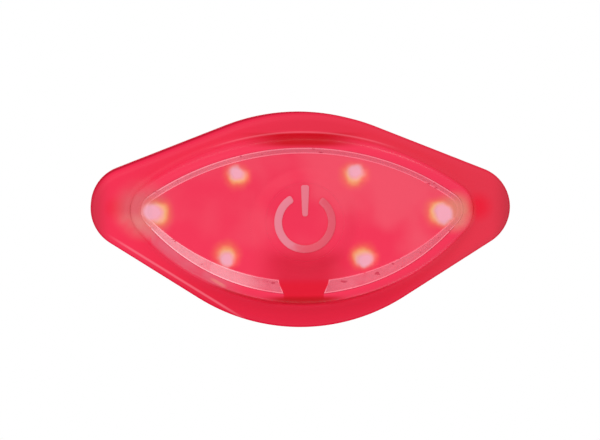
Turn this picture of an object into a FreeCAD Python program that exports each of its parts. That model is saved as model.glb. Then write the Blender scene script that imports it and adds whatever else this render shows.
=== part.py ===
import FreeCAD, Part
import math
import os
from types import SimpleNamespace

import Sketcher
from FreeCAD import Placement, Rotation, Vector

# Helmet light with a soft red front cover, a clear light guide ring and a twist-off battery door.
# Millimetres. The front looks along -Y, +X is to the right and +Z is up. The origin lies midway
# between the two rear pegs, on the flat rear face. A depth is a distance forward from that face.

SIZES = [
    # The outline seen from the front: two tip arcs, a top arc and a bottom arc, with tangent lines.
    ("tip_reach", 35.0, "centre to the end of a tip"),
    ("tip_radius", 6.8, "radius of each tip"),
    ("top_height", 15.8, "tip line up to the top of the outline"),
    ("top_radius", 34.0, "radius of the top arc"),
    ("bottom_drop", 20.0, "tip line down to the foot of the outline"),
    ("bottom_radius", 32.1, "radius of the bottom arc"),
    # The rear shell.
    ("rear_floor", 1.6, "thickness of the shell's floor"),
    ("part_line", 2.6, "depth where the soft cover meets the shell"),
    ("shell_rim", 1.2, "thickness of the shell's upright rim"),
    ("rear_edge", 0.8, "chamfer round the rear edge"),
    ("peg_spacing", 48.0, "distance between the plug pegs"),
    ("peg_radius", 2.0, "radius of a plug peg"),
    ("peg_length", 4.0, "how far a peg stands out behind"),
    ("peg_lead", 0.5, "chamfer at a peg's end"),
    ("catch_depth", 0.35, "depth of the grooves that hold the cover's beads"),
    ("catch_start", 4.2, "depth where the grooves start"),
    ("catch_width", 0.8, "width of the grooves"),
    ("catch_offset", 23.5, "side distance of the grooves' middles"),
    ("catch_length", 9.0, "side length of the grooves"),
    ("stake_offset", 17.8, "side distance of a board post"),
    ("stake_level", -1.0, "height of a board post"),
    ("stake_boss", 4.0, "side of a board post"),
    ("stake_pin", 1.8, "side of a post's square pin"),
    ("stake_head", 3.0, "side of the melted head"),
    ("stake_rise", 0.6, "thickness of the melted head"),
    ("pin_gap", 0.1, "clearance round a post's pin in the board"),
    # The soft front cover.
    ("cover_wall", 1.2, "thickness of the soft cover"),
    ("cover_gap", 0.06, "clearance between the cover and the rim"),
    ("bead_height", 0.28, "how far the cover's beads stand inwards"),
    ("bead_gap", 0.1, "clearance at each side of a bead"),
    ("flange_depth", 10.4, "depth of the flange's face"),
    ("flange_edge", 0.9, "chamfer round the flange's front edge"),
    ("dome_depth", 14.8, "depth of the dome's face at the middle"),
    ("dome_crown", 65.0, "radius of the dome's face towards the tips"),
    ("dome_draft", 12.0, "lean of the dome's wall in degrees"),
    ("dome_root", 7.4, "depth where the dome's form starts inside the flange"),
    ("dome_top", 12.3, "height of the dome's foot at the top"),
    ("dome_bottom", 16.2, "drop of the dome's foot at the bottom"),
    ("dome_tip", 5.0, "radius of the dome's foot at the tips"),
    ("dome_edge", 0.8, "chamfer round the dome's front edge"),
    ("crown_flat", 10.0, "half width of the flat middle of the dome's face"),
    # The circuit board and what stands on it.
    ("board_back", 6.0, "depth of the board's rear face"),
    ("board_thickness", 1.0, "thickness of the board"),
    ("board_gap", 0.2, "clearance round the board"),
    ("led_long", 3.5, "long side of a lamp package"),
    ("led_short", 2.8, "short side of a lamp package"),
    ("led_rise", 1.9, "height of a lamp package"),
    ("led_border", 0.4, "width of the wall round a lamp's window"),
    ("led_window_depth", 0.6, "depth of a lamp's window"),
    ("led_gap", 0.15, "clearance round a lamp in the light guide"),
    ("tip_lamp_offset", 23.9, "side distance of a tip lamp"),
    ("tip_lamp_level", -0.9, "height of a tip lamp"),
    ("top_lamp_offset", 9.9, "side distance of a top lamp"),
    ("top_lamp_level", 5.3, "height of a top lamp"),
    ("low_lamp_offset", 11.6, "side distance of a bottom lamp"),
    ("low_lamp_level", -8.7, "height of a bottom lamp"),
    ("chip_width", 3.9, "width of the control chip"),
    ("chip_length", 4.9, "length of the control chip"),
    ("chip_rise", 1.5, "height of the control chip"),
    ("chip_offset", -23.4, "side place of the control chip"),
    ("leg_reach", 1.0, "length of a chip leg"),
    ("leg_width", 0.4, "width of a chip leg"),
    ("leg_pitch", 1.27, "distance between chip legs"),
    ("leg_rise", 0.5, "height of a chip leg at its foot"),
    ("leg_lap", 0.25, "how far a chip leg reaches into the chip"),
    ("chip_stand", 0.125, "gap between the chip and the board"),
    ("resistor_length", 1.6, "length of a resistor"),
    ("resistor_width", 0.8, "width of a resistor"),
    ("resistor_rise", 0.45, "height of a resistor"),
    ("resistor_pitch", 1.5, "distance between resistors"),
    ("resistor_offset", 22.6, "side place of the first resistor column"),
    ("resistor_level", -3.2, "height of the lowest resistors"),
    ("capacitor_length", 3.2, "length of the capacitor"),
    ("capacitor_width", 1.6, "width of the capacitor"),
    ("capacitor_rise", 1.4, "height of the capacitor"),
    ("capacitor_level", 3.0, "height of the capacitor's place"),
    # The clear light guide ring.
    ("guide_reach", 26.7, "centre to the end of the guide's front edge"),
    ("guide_tip", 3.0, "radius of the guide at the tips"),
    ("guide_level", -0.3, "height of the guide's tips"),
    ("guide_top", 10.1, "height of the guide's front edge at the top"),
    ("guide_bottom", 14.1, "drop of the guide's front edge at the bottom"),
    ("guide_band", 0.95, "width of the guide's front edge at the top and tips"),
    ("guide_band_low", 2.2, "width of the guide's front edge at the bottom"),
    ("guide_draft", 8.0, "lean of the guide's walls in degrees"),
    ("guide_gap", 0.25, "clearance between the guide and the cover"),
    ("notch_width", 6.8, "width of the gap in the ring at its inner edge"),
    ("notch_flare", 0.5, "how much each end slants outwards"),
    # The push button and the switch behind it.
    ("core_level", -2.0, "height of the button's and the battery's centre"),
    ("pad_radius", 6.4, "radius of the button's stiff middle"),
    ("pad_thickness", 1.6, "thickness of the button's middle"),
    ("web_outer", 9.0, "outer radius of the flexing web"),
    ("web_thickness", 0.6, "thickness of the flexing web"),
    ("pad_rise", 0.8, "how far the button stands proud"),
    ("pad_gap", 0.05, "clearance between the button and the web"),
    ("press_travel", 0.6, "travel of the button"),
    ("stem_travel", 0.24, "travel of the switch's stem"),
    ("stop_gap", 0.01, "gap between the plunger and the stem at full press"),
    ("plunger_radius", 2.2, "radius of the plunger behind the button"),
    ("switch_width", 6.0, "side of the switch's square body"),
    ("switch_rise", 3.2, "height of the switch's moulded body"),
    ("switch_plate", 0.3, "thickness of the switch's metal plate"),
    ("switch_well", 2.3, "radius of the well inside the switch"),
    ("switch_well_depth", 1.7, "depth of the well inside the switch"),
    ("stem_radius", 1.75, "radius of the switch's stem"),
    ("stem_gap", 0.05, "running clearance round the stem"),
    ("stem_out", 0.8, "how far the stem stands out of the plate"),
    ("collar_radius", 2.15, "radius of the stem's retaining collar"),
    ("collar_rise", 0.4, "thickness of the stem's retaining collar"),
    ("snap_reach", 2.1, "half length of the snap spring"),
    ("snap_width", 1.2, "width of the snap spring"),
    ("snap_sheet", 0.12, "thickness of the snap spring"),
    ("snap_flat", 0.7, "half length of the snap spring's flat top"),
    # The battery, its contacts and the twist-off door.
    ("cell_radius", 10.0, "radius of the coin cell"),
    ("cell_thickness", 3.2, "thickness of the coin cell"),
    ("cell_cap_radius", 8.8, "radius of the cell's negative cap"),
    ("cell_cap_rise", 0.4, "how far the negative cap stands out"),
    ("cell_gap", 0.05, "clearance between the cell and what touches it"),
    ("cell_room", 0.45, "clearance between the cell and the door's hub"),
    ("door_rim", 1.6, "how far the door's plate reaches past its hub"),
    ("door_plate", 1.35, "thickness of the door inside its hub"),
    ("door_gap", 0.1, "clearance round the door"),
    ("seat_gap", 0.05, "clearance between the door's plate and its seat"),
    ("door_edge", 0.25, "chamfer round the door's outer edge"),
    ("hub_wall", 0.95, "thickness of the door's hub"),
    ("ledge", 1.0, "thickness of the ledge that the lugs hook behind"),
    ("lug_gap", 0.1, "clearance between a lug and the ledge"),
    ("lug_reach", 1.2, "how far a lug stands out of the hub"),
    ("lug_rise", 0.9, "thickness of a lug"),
    ("lug_angle", 22.0, "width of a lug in degrees"),
    ("lug_slack", 4.0, "extra width of the notch that a lug passes, in degrees"),
    ("door_turn", 38.0, "turn that frees the door, in degrees"),
    ("stop_slack", 0.8, "clearance of a lug at its stops, in degrees"),
    ("bay_wall", 1.2, "thickness of the wall round the battery bay"),
    ("coin_length", 13.0, "length of the coin slot"),
    ("coin_width", 1.8, "width of the coin slot"),
    ("coin_depth", 0.7, "depth of the coin slot"),
    ("seal_width", 1.1, "width of the flat sealing ring"),
    ("seal_floor", 0.7, "depth of the shoulder that carries the sealing ring"),
    ("seal_rest", 0.02, "gap between the sealing ring and what it lies against"),
    ("contact_sheet", 0.2, "thickness of the contact springs"),
    ("contact_width", 3.0, "width of the contact springs"),
    ("contact_foot", 2.4, "half length of the negative contact's foot"),
    ("contact_reach", 6.0, "half length of the negative contact's arms"),
    ("contact_toe", 1.0, "length of each turned up toe"),
    ("contact_toe_rise", 0.3, "how far each toe turns up"),
    ("clip_foot", 2.0, "length of the positive contact's foot"),
    ("clip_end", 3.7, "depth where the positive contact ends"),
]

LUGS = 3
RESISTOR_ROWS = 3
RESISTOR_COLUMNS = 2
CHIP_LEGS_PER_SIDE = 4
BAY_SIDES = 12
TIP_CORNERS = (-55.0, -15.0, 25.0, 65.0)
TOP_CORNERS = (72.0, 84.0, 96.0, 108.0)
BOTTOM_CORNERS = (-62.0, -76.0, -90.0, -104.0, -118.0)
LOCKED_LUG_ANGLE = 90.0
CLEAR_OF_PART = 3.0
OVERRUN = 1.0
SHARP_EDGE_DEGREES = 5.0
NEAR = 0.01
UPRIGHT = (-0.01, 0.01)
LEANING = (-0.5, -0.02)
REARWARD = (0.99, 1.01)
FORWARD = (-1.01, -0.7)

doc = FreeCAD.newDocument("HelmetLight")
sheet = doc.addObject("Spreadsheet::Sheet", "Sizes")
nodes = {}


class Size:
    """A number together with the sheet formula that gives it."""

    def __init__(self, value, text=None):
        self.value = float(value)
        self.text = repr(float(value)) if text is None else text

    def joined(self, sign, other, value):
        other = as_size(other)
        return Size(value, "(%s %s %s)" % (self.text, sign, other.text))

    def __add__(self, other):
        return self.joined("+", other, self.value + as_size(other).value)

    def __sub__(self, other):
        return self.joined("-", other, self.value - as_size(other).value)

    def __mul__(self, other):
        return self.joined("*", other, self.value * as_size(other).value)

    def __truediv__(self, other):
        return self.joined("/", other, self.value / as_size(other).value)

    def __neg__(self):
        return self * -1.0


def as_size(value):
    return value if isinstance(value, Size) else Size(value)


def tangent(angle):
    """The tangent of an angle given in degrees."""
    return Size(math.tan(math.radians(angle.value)), "tan(%s * 1 deg)" % angle.text)


def cosine(angle):
    """The cosine of an angle given in degrees."""
    return Size(math.cos(math.radians(angle.value)), "cos(%s * 1 deg)" % angle.text)


def square_root(size):
    """The square root of a size."""
    return Size(math.sqrt(size.value), "sqrt(%s)" % size.text)


def smaller(first, second):
    """The smaller of two sizes."""
    return Size(min(first.value, second.value), "min(%s; %s)" % (first.text, second.text))


def fill_sheet():
    """Write every driving size into the sheet and return the sizes by name."""
    found = {}
    for row, (alias, value, note) in enumerate(SIZES, start=1):
        sheet.set("A%d" % row, alias)
        sheet.set("B%d" % row, str(value))
        sheet.set("C%d" % row, note)
        sheet.setAlias("B%d" % row, alias)
        found[alias] = Size(value, "Sizes." + alias)
    doc.recompute()
    return SimpleNamespace(**found)


dim = fill_sheet()
ZERO = Size(0.0, "0")

# Places that several pieces share, each worked out from the driving sizes.
tip_centre = dim.tip_reach - dim.tip_radius
top_centre = dim.top_height - dim.top_radius
bottom_centre = dim.bottom_radius - dim.bottom_drop
board_front = dim.board_back + dim.board_thickness
rim_inset = dim.cover_wall + dim.cover_gap
room_inset = rim_inset + dim.shell_rim
board_inset = room_inset + dim.board_gap
dome_inside = dim.dome_depth - dim.cover_wall
guide_front = dome_inside - dim.guide_gap
guide_centre = dim.guide_reach - dim.guide_tip
guide_spread = (guide_front - board_front) * tangent(dim.guide_draft)
door_seat = dim.door_plate + dim.seat_gap
ledge_front = door_seat + dim.ledge
lug_back = ledge_front + dim.lug_gap
hub_front = lug_back + dim.lug_rise
hub_inside = dim.cell_radius + dim.cell_room
hub_radius = hub_inside + dim.hub_wall
door_radius = hub_radius + dim.door_rim
lug_tip = hub_radius + dim.lug_reach
bay_radius = lug_tip + dim.door_gap
bay_outer = bay_radius + dim.bay_wall
cell_back = dim.door_plate + dim.cell_gap
cell_front = cell_back + dim.cell_thickness
switch_front = board_front + dim.switch_rise
plate_front = switch_front + dim.switch_plate
stem_front = plate_front + dim.stem_out
stem_foot = switch_front - dim.collar_rise
pad_front = dim.dome_depth + dim.pad_rise
pad_back = pad_front - dim.pad_thickness
plunger_back = stem_front + dim.press_travel - dim.stem_travel + dim.stop_gap
lamp_front = board_front + dim.led_rise
crown_run = guide_centre + dim.dome_tip - dim.crown_flat
crown_fall = dim.dome_crown - square_root(dim.dome_crown * dim.dome_crown - crown_run * crown_run)
dome_low_wall = dim.dome_depth - crown_fall - dim.flange_depth


def bind(thing, path, size):
    thing.setExpression(path, size.text)


def new_body(label):
    body = doc.addObject("PartDesign::Body", label)
    body.Label = label
    return body


def origin_plane(body, role):
    return [part for part in body.Origin.OriginFeatures if part.Role == role][0]


def front_sketch(body, name, depth, level=None):
    """A sketch that faces forward at a depth, with its own centre at a level.

    Its angles grow from +X towards +Z, so a turn about +Y makes an angle smaller.
    """
    sketch = body.newObject("Sketcher::SketchObject", name)
    sketch.AttachmentSupport = [(origin_plane(body, "XZ_Plane"), "")]
    sketch.MapMode = "FlatFace"
    height = 0.0 if level is None else level.value
    sketch.AttachmentOffset = Placement(Vector(0, height, depth.value), Rotation())
    bind(sketch, "AttachmentOffset.Base.z", depth)
    if level is not None:
        bind(sketch, "AttachmentOffset.Base.y", level)
    return sketch


def side_sketch(body, name, level):
    """A sketch in the middle plane, its X forward negative and its Y upwards from a level."""
    sketch = body.newObject("Sketcher::SketchObject", name)
    sketch.AttachmentSupport = [(origin_plane(body, "YZ_Plane"), "")]
    sketch.MapMode = "FlatFace"
    sketch.AttachmentOffset = Placement(Vector(0, level.value, 0), Rotation())
    bind(sketch, "AttachmentOffset.Base.y", level)
    return sketch


def top_sketch(body, name, level=ZERO):
    """A sketch seen from above at a level, its Y backwards."""
    sketch = body.newObject("Sketcher::SketchObject", name)
    sketch.AttachmentSupport = [(origin_plane(body, "XY_Plane"), "")]
    sketch.MapMode = "FlatFace"
    sketch.AttachmentOffset = Placement(Vector(0, 0, level.value), Rotation())
    if level is not ZERO:
        bind(sketch, "AttachmentOffset.Base.z", level)
    return sketch


def hold(sketch, kind, *where, size):
    """Add a sized constraint and bind it to its formula."""
    index = sketch.addConstraint(Sketcher.Constraint(kind, *where, size.value))
    bind(sketch, "Constraints[%d]" % index, size)


def place_point(sketch, geometry, point, across, up):
    """Fix one point of a geometry from the sketch's centre."""
    if across is ZERO:
        sketch.addConstraint(Sketcher.Constraint("PointOnObject", geometry, point, -2))
    else:
        hold(sketch, "DistanceX", -1, 1, geometry, point, size=across)
    if up is ZERO:
        sketch.addConstraint(Sketcher.Constraint("PointOnObject", geometry, point, -1))
    else:
        hold(sketch, "DistanceY", -1, 1, geometry, point, size=up)


def circle(sketch, across, up, radius):
    centre = Vector(across.value, up.value, 0)
    index = sketch.addGeometry(Part.Circle(centre, Vector(0, 0, 1), radius.value), False)
    place_point(sketch, index, 3, across, up)
    hold(sketch, "Radius", index, size=radius)


def polygon(sketch, corners):
    """A closed run of lines through corners, each corner fixed from the sketch's centre."""
    points = [Vector(across.value, up.value, 0) for across, up in corners]
    first = None
    for number, point in enumerate(points):
        following = points[(number + 1) % len(points)]
        index = sketch.addGeometry(Part.LineSegment(point, following), False)
        first = index if first is None else first
    for number, (across, up) in enumerate(corners):
        following = first + (number + 1) % len(corners)
        sketch.addConstraint(Sketcher.Constraint("Coincident", first + number, 2, following, 1))
        place_point(sketch, first + number, 1, across, up)


def rectangle(sketch, across, up, width, height):
    left = across - width / 2
    right = across + width / 2
    low = up - height / 2
    high = up + height / 2
    polygon(sketch, [(left, low), (right, low), (right, high), (left, high)])


def regular(sketch, radius, sides):
    """A regular polygon about the sketch's centre whose sides touch a circle."""
    step = math.pi / sides
    corner = radius / math.cos(step)
    angles = [step * (2 * number + 1) for number in range(sides)]
    polygon(sketch, [(corner * math.cos(angle), corner * math.sin(angle)) for angle in angles])


def arc(sketch, centre, radius, start, end):
    curve = Part.ArcOfCircle(Part.Circle(centre, Vector(0, 0, 1), radius), start, end)
    return sketch.addGeometry(curve, False)


def sector(sketch, inner, outer, start, end):
    """A piece of a ring about the sketch's centre, between two angles in degrees."""
    first = math.radians(start.value)
    last = math.radians(end.value)
    centre = Vector(0, 0, 0)
    inside = arc(sketch, centre, inner.value, first, last)
    outside = arc(sketch, centre, outer.value, first, last)
    sides = []
    for angle, corner in ((first, 1), (last, 2)):
        ray = Vector(math.cos(angle), math.sin(angle), 0)
        line = sketch.addGeometry(Part.LineSegment(ray * inner.value, ray * outer.value), False)
        sketch.addConstraint(Sketcher.Constraint("Coincident", line, 1, inside, corner))
        sketch.addConstraint(Sketcher.Constraint("Coincident", line, 2, outside, corner))
        sides.append(line)
    for curve, radius in ((inside, inner), (outside, outer)):
        sketch.addConstraint(Sketcher.Constraint("Coincident", curve, 3, -1, 1))
        hold(sketch, "Radius", curve, size=radius)
    for line, angle in zip(sides, (start, end)):
        sketch.addConstraint(Sketcher.Constraint("PointOnObject", -1, 1, line))
        index = sketch.addConstraint(Sketcher.Constraint("Angle", line, math.radians(angle.value)))
        sketch.setExpression("Constraints[%d]" % index, "%s * 1 deg" % angle.text)


def join_tangent(sketch, chain):
    """Join each curve of a closed chain to the next, end to start, without a corner."""
    for number, geometry in enumerate(chain):
        following = chain[(number + 1) % len(chain)]
        sketch.addConstraint(Sketcher.Constraint("Tangent", geometry, 2, following, 1))


def mirror_tips(sketch, right, left, across, up, radius):
    """Hold the two tip arcs at equal distances from the middle."""
    place_point(sketch, right, 3, across, up)
    place_point(sketch, left, 3, -across, up)
    hold(sketch, "Radius", right, size=radius)
    sketch.addConstraint(Sketcher.Constraint("Equal", right, left))


def outline(sketch, inset):
    """The body's outline, moved inwards by an inset: every arc keeps its centre."""
    radius_tip = dim.tip_radius - inset
    radius_top = dim.top_radius - inset
    radius_bottom = dim.bottom_radius - inset

    def touching(radius, centre):
        """The angle at which a line touches a tip arc and the arc of a side."""
        across = tip_centre.value
        rise = -centre.value
        spread = math.hypot(across, rise)
        return math.atan2(rise, across) + math.acos((radius - radius_tip.value) / spread)

    upper = touching(radius_top.value, top_centre)
    lower = touching(radius_bottom.value, -bottom_centre)
    tip = Vector(tip_centre.value, 0, 0)
    other_tip = Vector(-tip_centre.value, 0, 0)
    top = Vector(0, top_centre.value, 0)
    bottom = Vector(0, bottom_centre.value, 0)

    def reach(centre, radius, angle):
        return centre + Vector(math.cos(angle), math.sin(angle), 0) * radius.value

    def line(start, end):
        return sketch.addGeometry(Part.LineSegment(start, end), False)

    far_upper = math.pi - upper
    far_lower = math.pi + lower
    right = arc(sketch, tip, radius_tip.value, -lower, upper)
    right_line = line(reach(tip, radius_tip, upper), reach(top, radius_top, upper))
    over = arc(sketch, top, radius_top.value, upper, far_upper)
    left_line = line(reach(top, radius_top, far_upper), reach(other_tip, radius_tip, far_upper))
    left = arc(sketch, other_tip, radius_tip.value, far_upper, far_lower)
    left_low = line(reach(other_tip, radius_tip, far_lower), reach(bottom, radius_bottom, far_lower))
    under = arc(sketch, bottom, radius_bottom.value, far_lower, 2 * math.pi - lower)
    right_low = line(reach(bottom, radius_bottom, -lower), reach(tip, radius_tip, -lower))
    join_tangent(sketch, [right, right_line, over, left_line, left, left_low, under, right_low])
    mirror_tips(sketch, right, left, tip_centre, ZERO, radius_tip)
    for curve, centre, radius in ((over, top_centre, radius_top), (under, bottom_centre, radius_bottom)):
        place_point(sketch, curve, 3, ZERO, centre)
        hold(sketch, "Radius", curve, size=radius)


def almond(sketch, top, bottom, radius_tip):
    """The outline of the guide and the dome: two long arcs that run smoothly into two tip arcs."""

    def side_radius(drop):
        """The radius of an arc that passes a drop from the tip line and touches both tip arcs."""
        across = guide_centre * guide_centre
        return (across + drop * drop - radius_tip * radius_tip) / ((drop - radius_tip) * 2)

    rise = top - dim.guide_level
    fall = bottom + dim.guide_level
    radius_top = side_radius(rise)
    radius_bottom = side_radius(fall)
    centre_top = top - radius_top
    centre_bottom = radius_bottom - bottom
    level = dim.guide_level.value
    upper = math.atan2(level - centre_top.value, guide_centre.value)
    lower = math.atan2(centre_bottom.value - level, guide_centre.value)
    tip = Vector(guide_centre.value, level, 0)
    other_tip = Vector(-guide_centre.value, level, 0)
    right = arc(sketch, tip, radius_tip.value, -lower, upper)
    over = arc(sketch, Vector(0, centre_top.value, 0), radius_top.value, upper, math.pi - upper)
    left = arc(sketch, other_tip, radius_tip.value, math.pi - upper, math.pi + lower)
    under_centre = Vector(0, centre_bottom.value, 0)
    under = arc(sketch, under_centre, radius_bottom.value, math.pi + lower, 2 * math.pi - lower)
    join_tangent(sketch, [right, over, left, under])
    mirror_tips(sketch, right, left, guide_centre, dim.guide_level, radius_tip)
    hold(sketch, "Radius", over, size=radius_top)
    hold(sketch, "Radius", under, size=radius_bottom)


def pad(body, sketch, length, name, backwards=False, both_ways=False, lean=None):
    """Extrude a sketch forward, or backwards, or to both sides, with walls that may lean inwards."""
    feature = body.newObject("PartDesign::Pad", name)
    feature.Profile = sketch
    feature.Length = length.value
    bind(feature, "Length", length)
    feature.Reversed = backwards
    feature.Midplane = both_ways
    if lean is not None:
        feature.TaperAngle = -lean.value
        bind(feature, "TaperAngle", -lean)
    doc.recompute()
    return feature


def pocket(body, sketch, length, name, both_ways=False):
    """Cut a sketch backwards, or to both sides, and make sure that it cuts."""
    before = body.Shape.Volume
    feature = body.newObject("PartDesign::Pocket", name)
    feature.Profile = sketch
    feature.Length = length.value
    bind(feature, "Length", length)
    feature.Midplane = both_ways
    doc.recompute()
    if body.Shape.Volume >= before:
        raise RuntimeError("%s cuts nothing" % name)
    return feature


def polar(body, feature, sketch, count, name):
    """Repeat a feature round the centre of its sketch."""
    pattern = body.newObject("PartDesign::PolarPattern", name)
    pattern.Originals = [feature]
    pattern.Axis = (sketch, ["N_Axis"])
    pattern.Angle = 360.0
    pattern.Occurrences = count
    body.Tip = pattern
    doc.recompute()
    return pattern


def turned(body, level, profile, name):
    """Turn a profile of depth and radius pairs about the forward axis at a level."""
    sketch = side_sketch(body, name + "_profile", level)
    polygon(sketch, [(-depth, radius) for depth, radius in profile])
    feature = body.newObject("PartDesign::Revolution", name)
    feature.Profile = sketch
    feature.ReferenceAxis = (sketch, ["H_Axis"])
    feature.Angle = 360.0
    doc.recompute()
    return feature


def normal_at(face, point):
    """The direction that a face looks in at a point."""
    along, across = face.Surface.parameter(point)
    return face.normalAt(along, across)


def chosen_edges(shape, wall, cap, shallow, deep):
    """Names of the sharp edges between a wall and a cap, in a range of depths.

    The wall and the cap are each given as the range of their normal's Y: 1 looks backwards,
    -1 looks forwards and 0 is upright.
    """
    names = []
    for number, edge in enumerate(shape.Edges, start=1):
        middle = edge.valueAt((edge.FirstParameter + edge.LastParameter) / 2)
        if not shallow - NEAR <= -middle.y <= deep + NEAR:
            continue
        faces = shape.ancestorsOfType(edge, Part.Face)
        if len(faces) != 2:
            continue
        normals = [normal_at(face, middle) for face in faces]
        turn = math.degrees(normals[0].getAngle(normals[1]))
        low, high = sorted(normals, key=lambda normal: abs(normal.y))
        if turn > SHARP_EDGE_DEGREES and wall[0] <= low.y <= wall[1] and cap[0] <= high.y <= cap[1]:
            names.append("Edge%d" % number)
    return names


def chamfered(body, names, size, name):
    """Chamfer a set of edges of the body's last feature."""
    feature = body.newObject("PartDesign::Chamfer", name)
    feature.Base = (body.Group[-2], names)
    feature.Size = size.value
    bind(feature, "Size", size)
    doc.recompute()
    return feature


def keep(label, thing):
    """Register a finished piece under its file name."""
    thing.Label = label
    nodes[label] = thing


def crown_cut(body, name, depth, radius):
    """Cut the front of a body to a face that is flat in the middle and falls away to the tips."""
    sketch = top_sketch(body, name + "_profile")
    flat = dim.crown_flat
    end = dim.tip_reach + CLEAR_OF_PART
    run = (end - flat).value
    sweep = math.asin(run / radius.value)
    fall = radius.value - math.sqrt(radius.value ** 2 - run ** 2)
    front = -(dim.dome_depth + CLEAR_OF_PART)
    level = -depth
    right_centre = Vector(flat.value, level.value + radius.value, 0)
    left_centre = Vector(-flat.value, level.value + radius.value, 0)
    down = -math.pi / 2
    corner_right = Vector(end.value, level.value + fall, 0)
    corner_left = Vector(-end.value, level.value + fall, 0)
    left_arc = arc(sketch, left_centre, radius.value, down - sweep, down)
    middle = sketch.addGeometry(Part.LineSegment(
        Vector(-flat.value, level.value, 0), Vector(flat.value, level.value, 0)), False)
    right_arc = arc(sketch, right_centre, radius.value, down, down + sweep)
    right_side = sketch.addGeometry(Part.LineSegment(
        corner_right, Vector(end.value, front.value, 0)), False)
    across = sketch.addGeometry(Part.LineSegment(
        Vector(end.value, front.value, 0), Vector(-end.value, front.value, 0)), False)
    left_side = sketch.addGeometry(Part.LineSegment(
        Vector(-end.value, front.value, 0), corner_left), False)
    sketch.addConstraint(Sketcher.Constraint("Tangent", left_arc, 2, middle, 1))
    sketch.addConstraint(Sketcher.Constraint("Tangent", middle, 2, right_arc, 1))
    for first, second in ((right_arc, right_side), (right_side, across), (across, left_side)):
        sketch.addConstraint(Sketcher.Constraint("Coincident", first, 2, second, 1))
    sketch.addConstraint(Sketcher.Constraint("Coincident", left_side, 2, left_arc, 1))
    place_point(sketch, middle, 1, -flat, level)
    place_point(sketch, middle, 2, flat, level)
    hold(sketch, "Radius", left_arc, size=radius)
    hold(sketch, "Radius", right_arc, size=radius)
    place_point(sketch, across, 1, end, front)
    place_point(sketch, across, 2, -end, front)
    sketch.addConstraint(Sketcher.Constraint("Vertical", right_side))
    sketch.addConstraint(Sketcher.Constraint("Vertical", left_side))
    height = (dim.top_height + dim.bottom_drop) * 2
    return pocket(body, sketch, height, name, both_ways=True)


def straight_pieces(name, outer, inner, length, start, width):
    """Four pieces of a ring of the outline, one on each straight side, as one body."""
    body = new_body(name)
    ring = front_sketch(body, name + "_ring", start)
    outline(ring, outer)
    outline(ring, inner)
    pad(body, ring, width, name + "_band")
    away = front_sketch(body, name + "_away", start + width)
    half = length / 2
    tall = (dim.top_height + dim.bottom_drop) * 2
    middle = (dim.catch_offset - half) * 2
    end = dim.tip_reach + CLEAR_OF_PART
    beyond = end - dim.catch_offset - half
    rectangle(away, ZERO, ZERO, middle, tall)
    for side in (-1.0, 1.0):
        rectangle(away, (end - beyond / 2) * side, ZERO, beyond, tall)
    pocket(body, away, width, name + "_cut")
    return body


def joined(body, other, kind, name):
    """Fuse another body with a body, or cut it away, and make sure that it changes something."""
    before = body.Shape.Volume
    feature = body.newObject("PartDesign::Boolean", name)
    feature.Type = kind
    feature.Group = [other]
    doc.recompute()
    if abs(body.Shape.Volume - before) < NEAR:
        raise RuntimeError("%s changes nothing" % name)
    return feature


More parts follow.
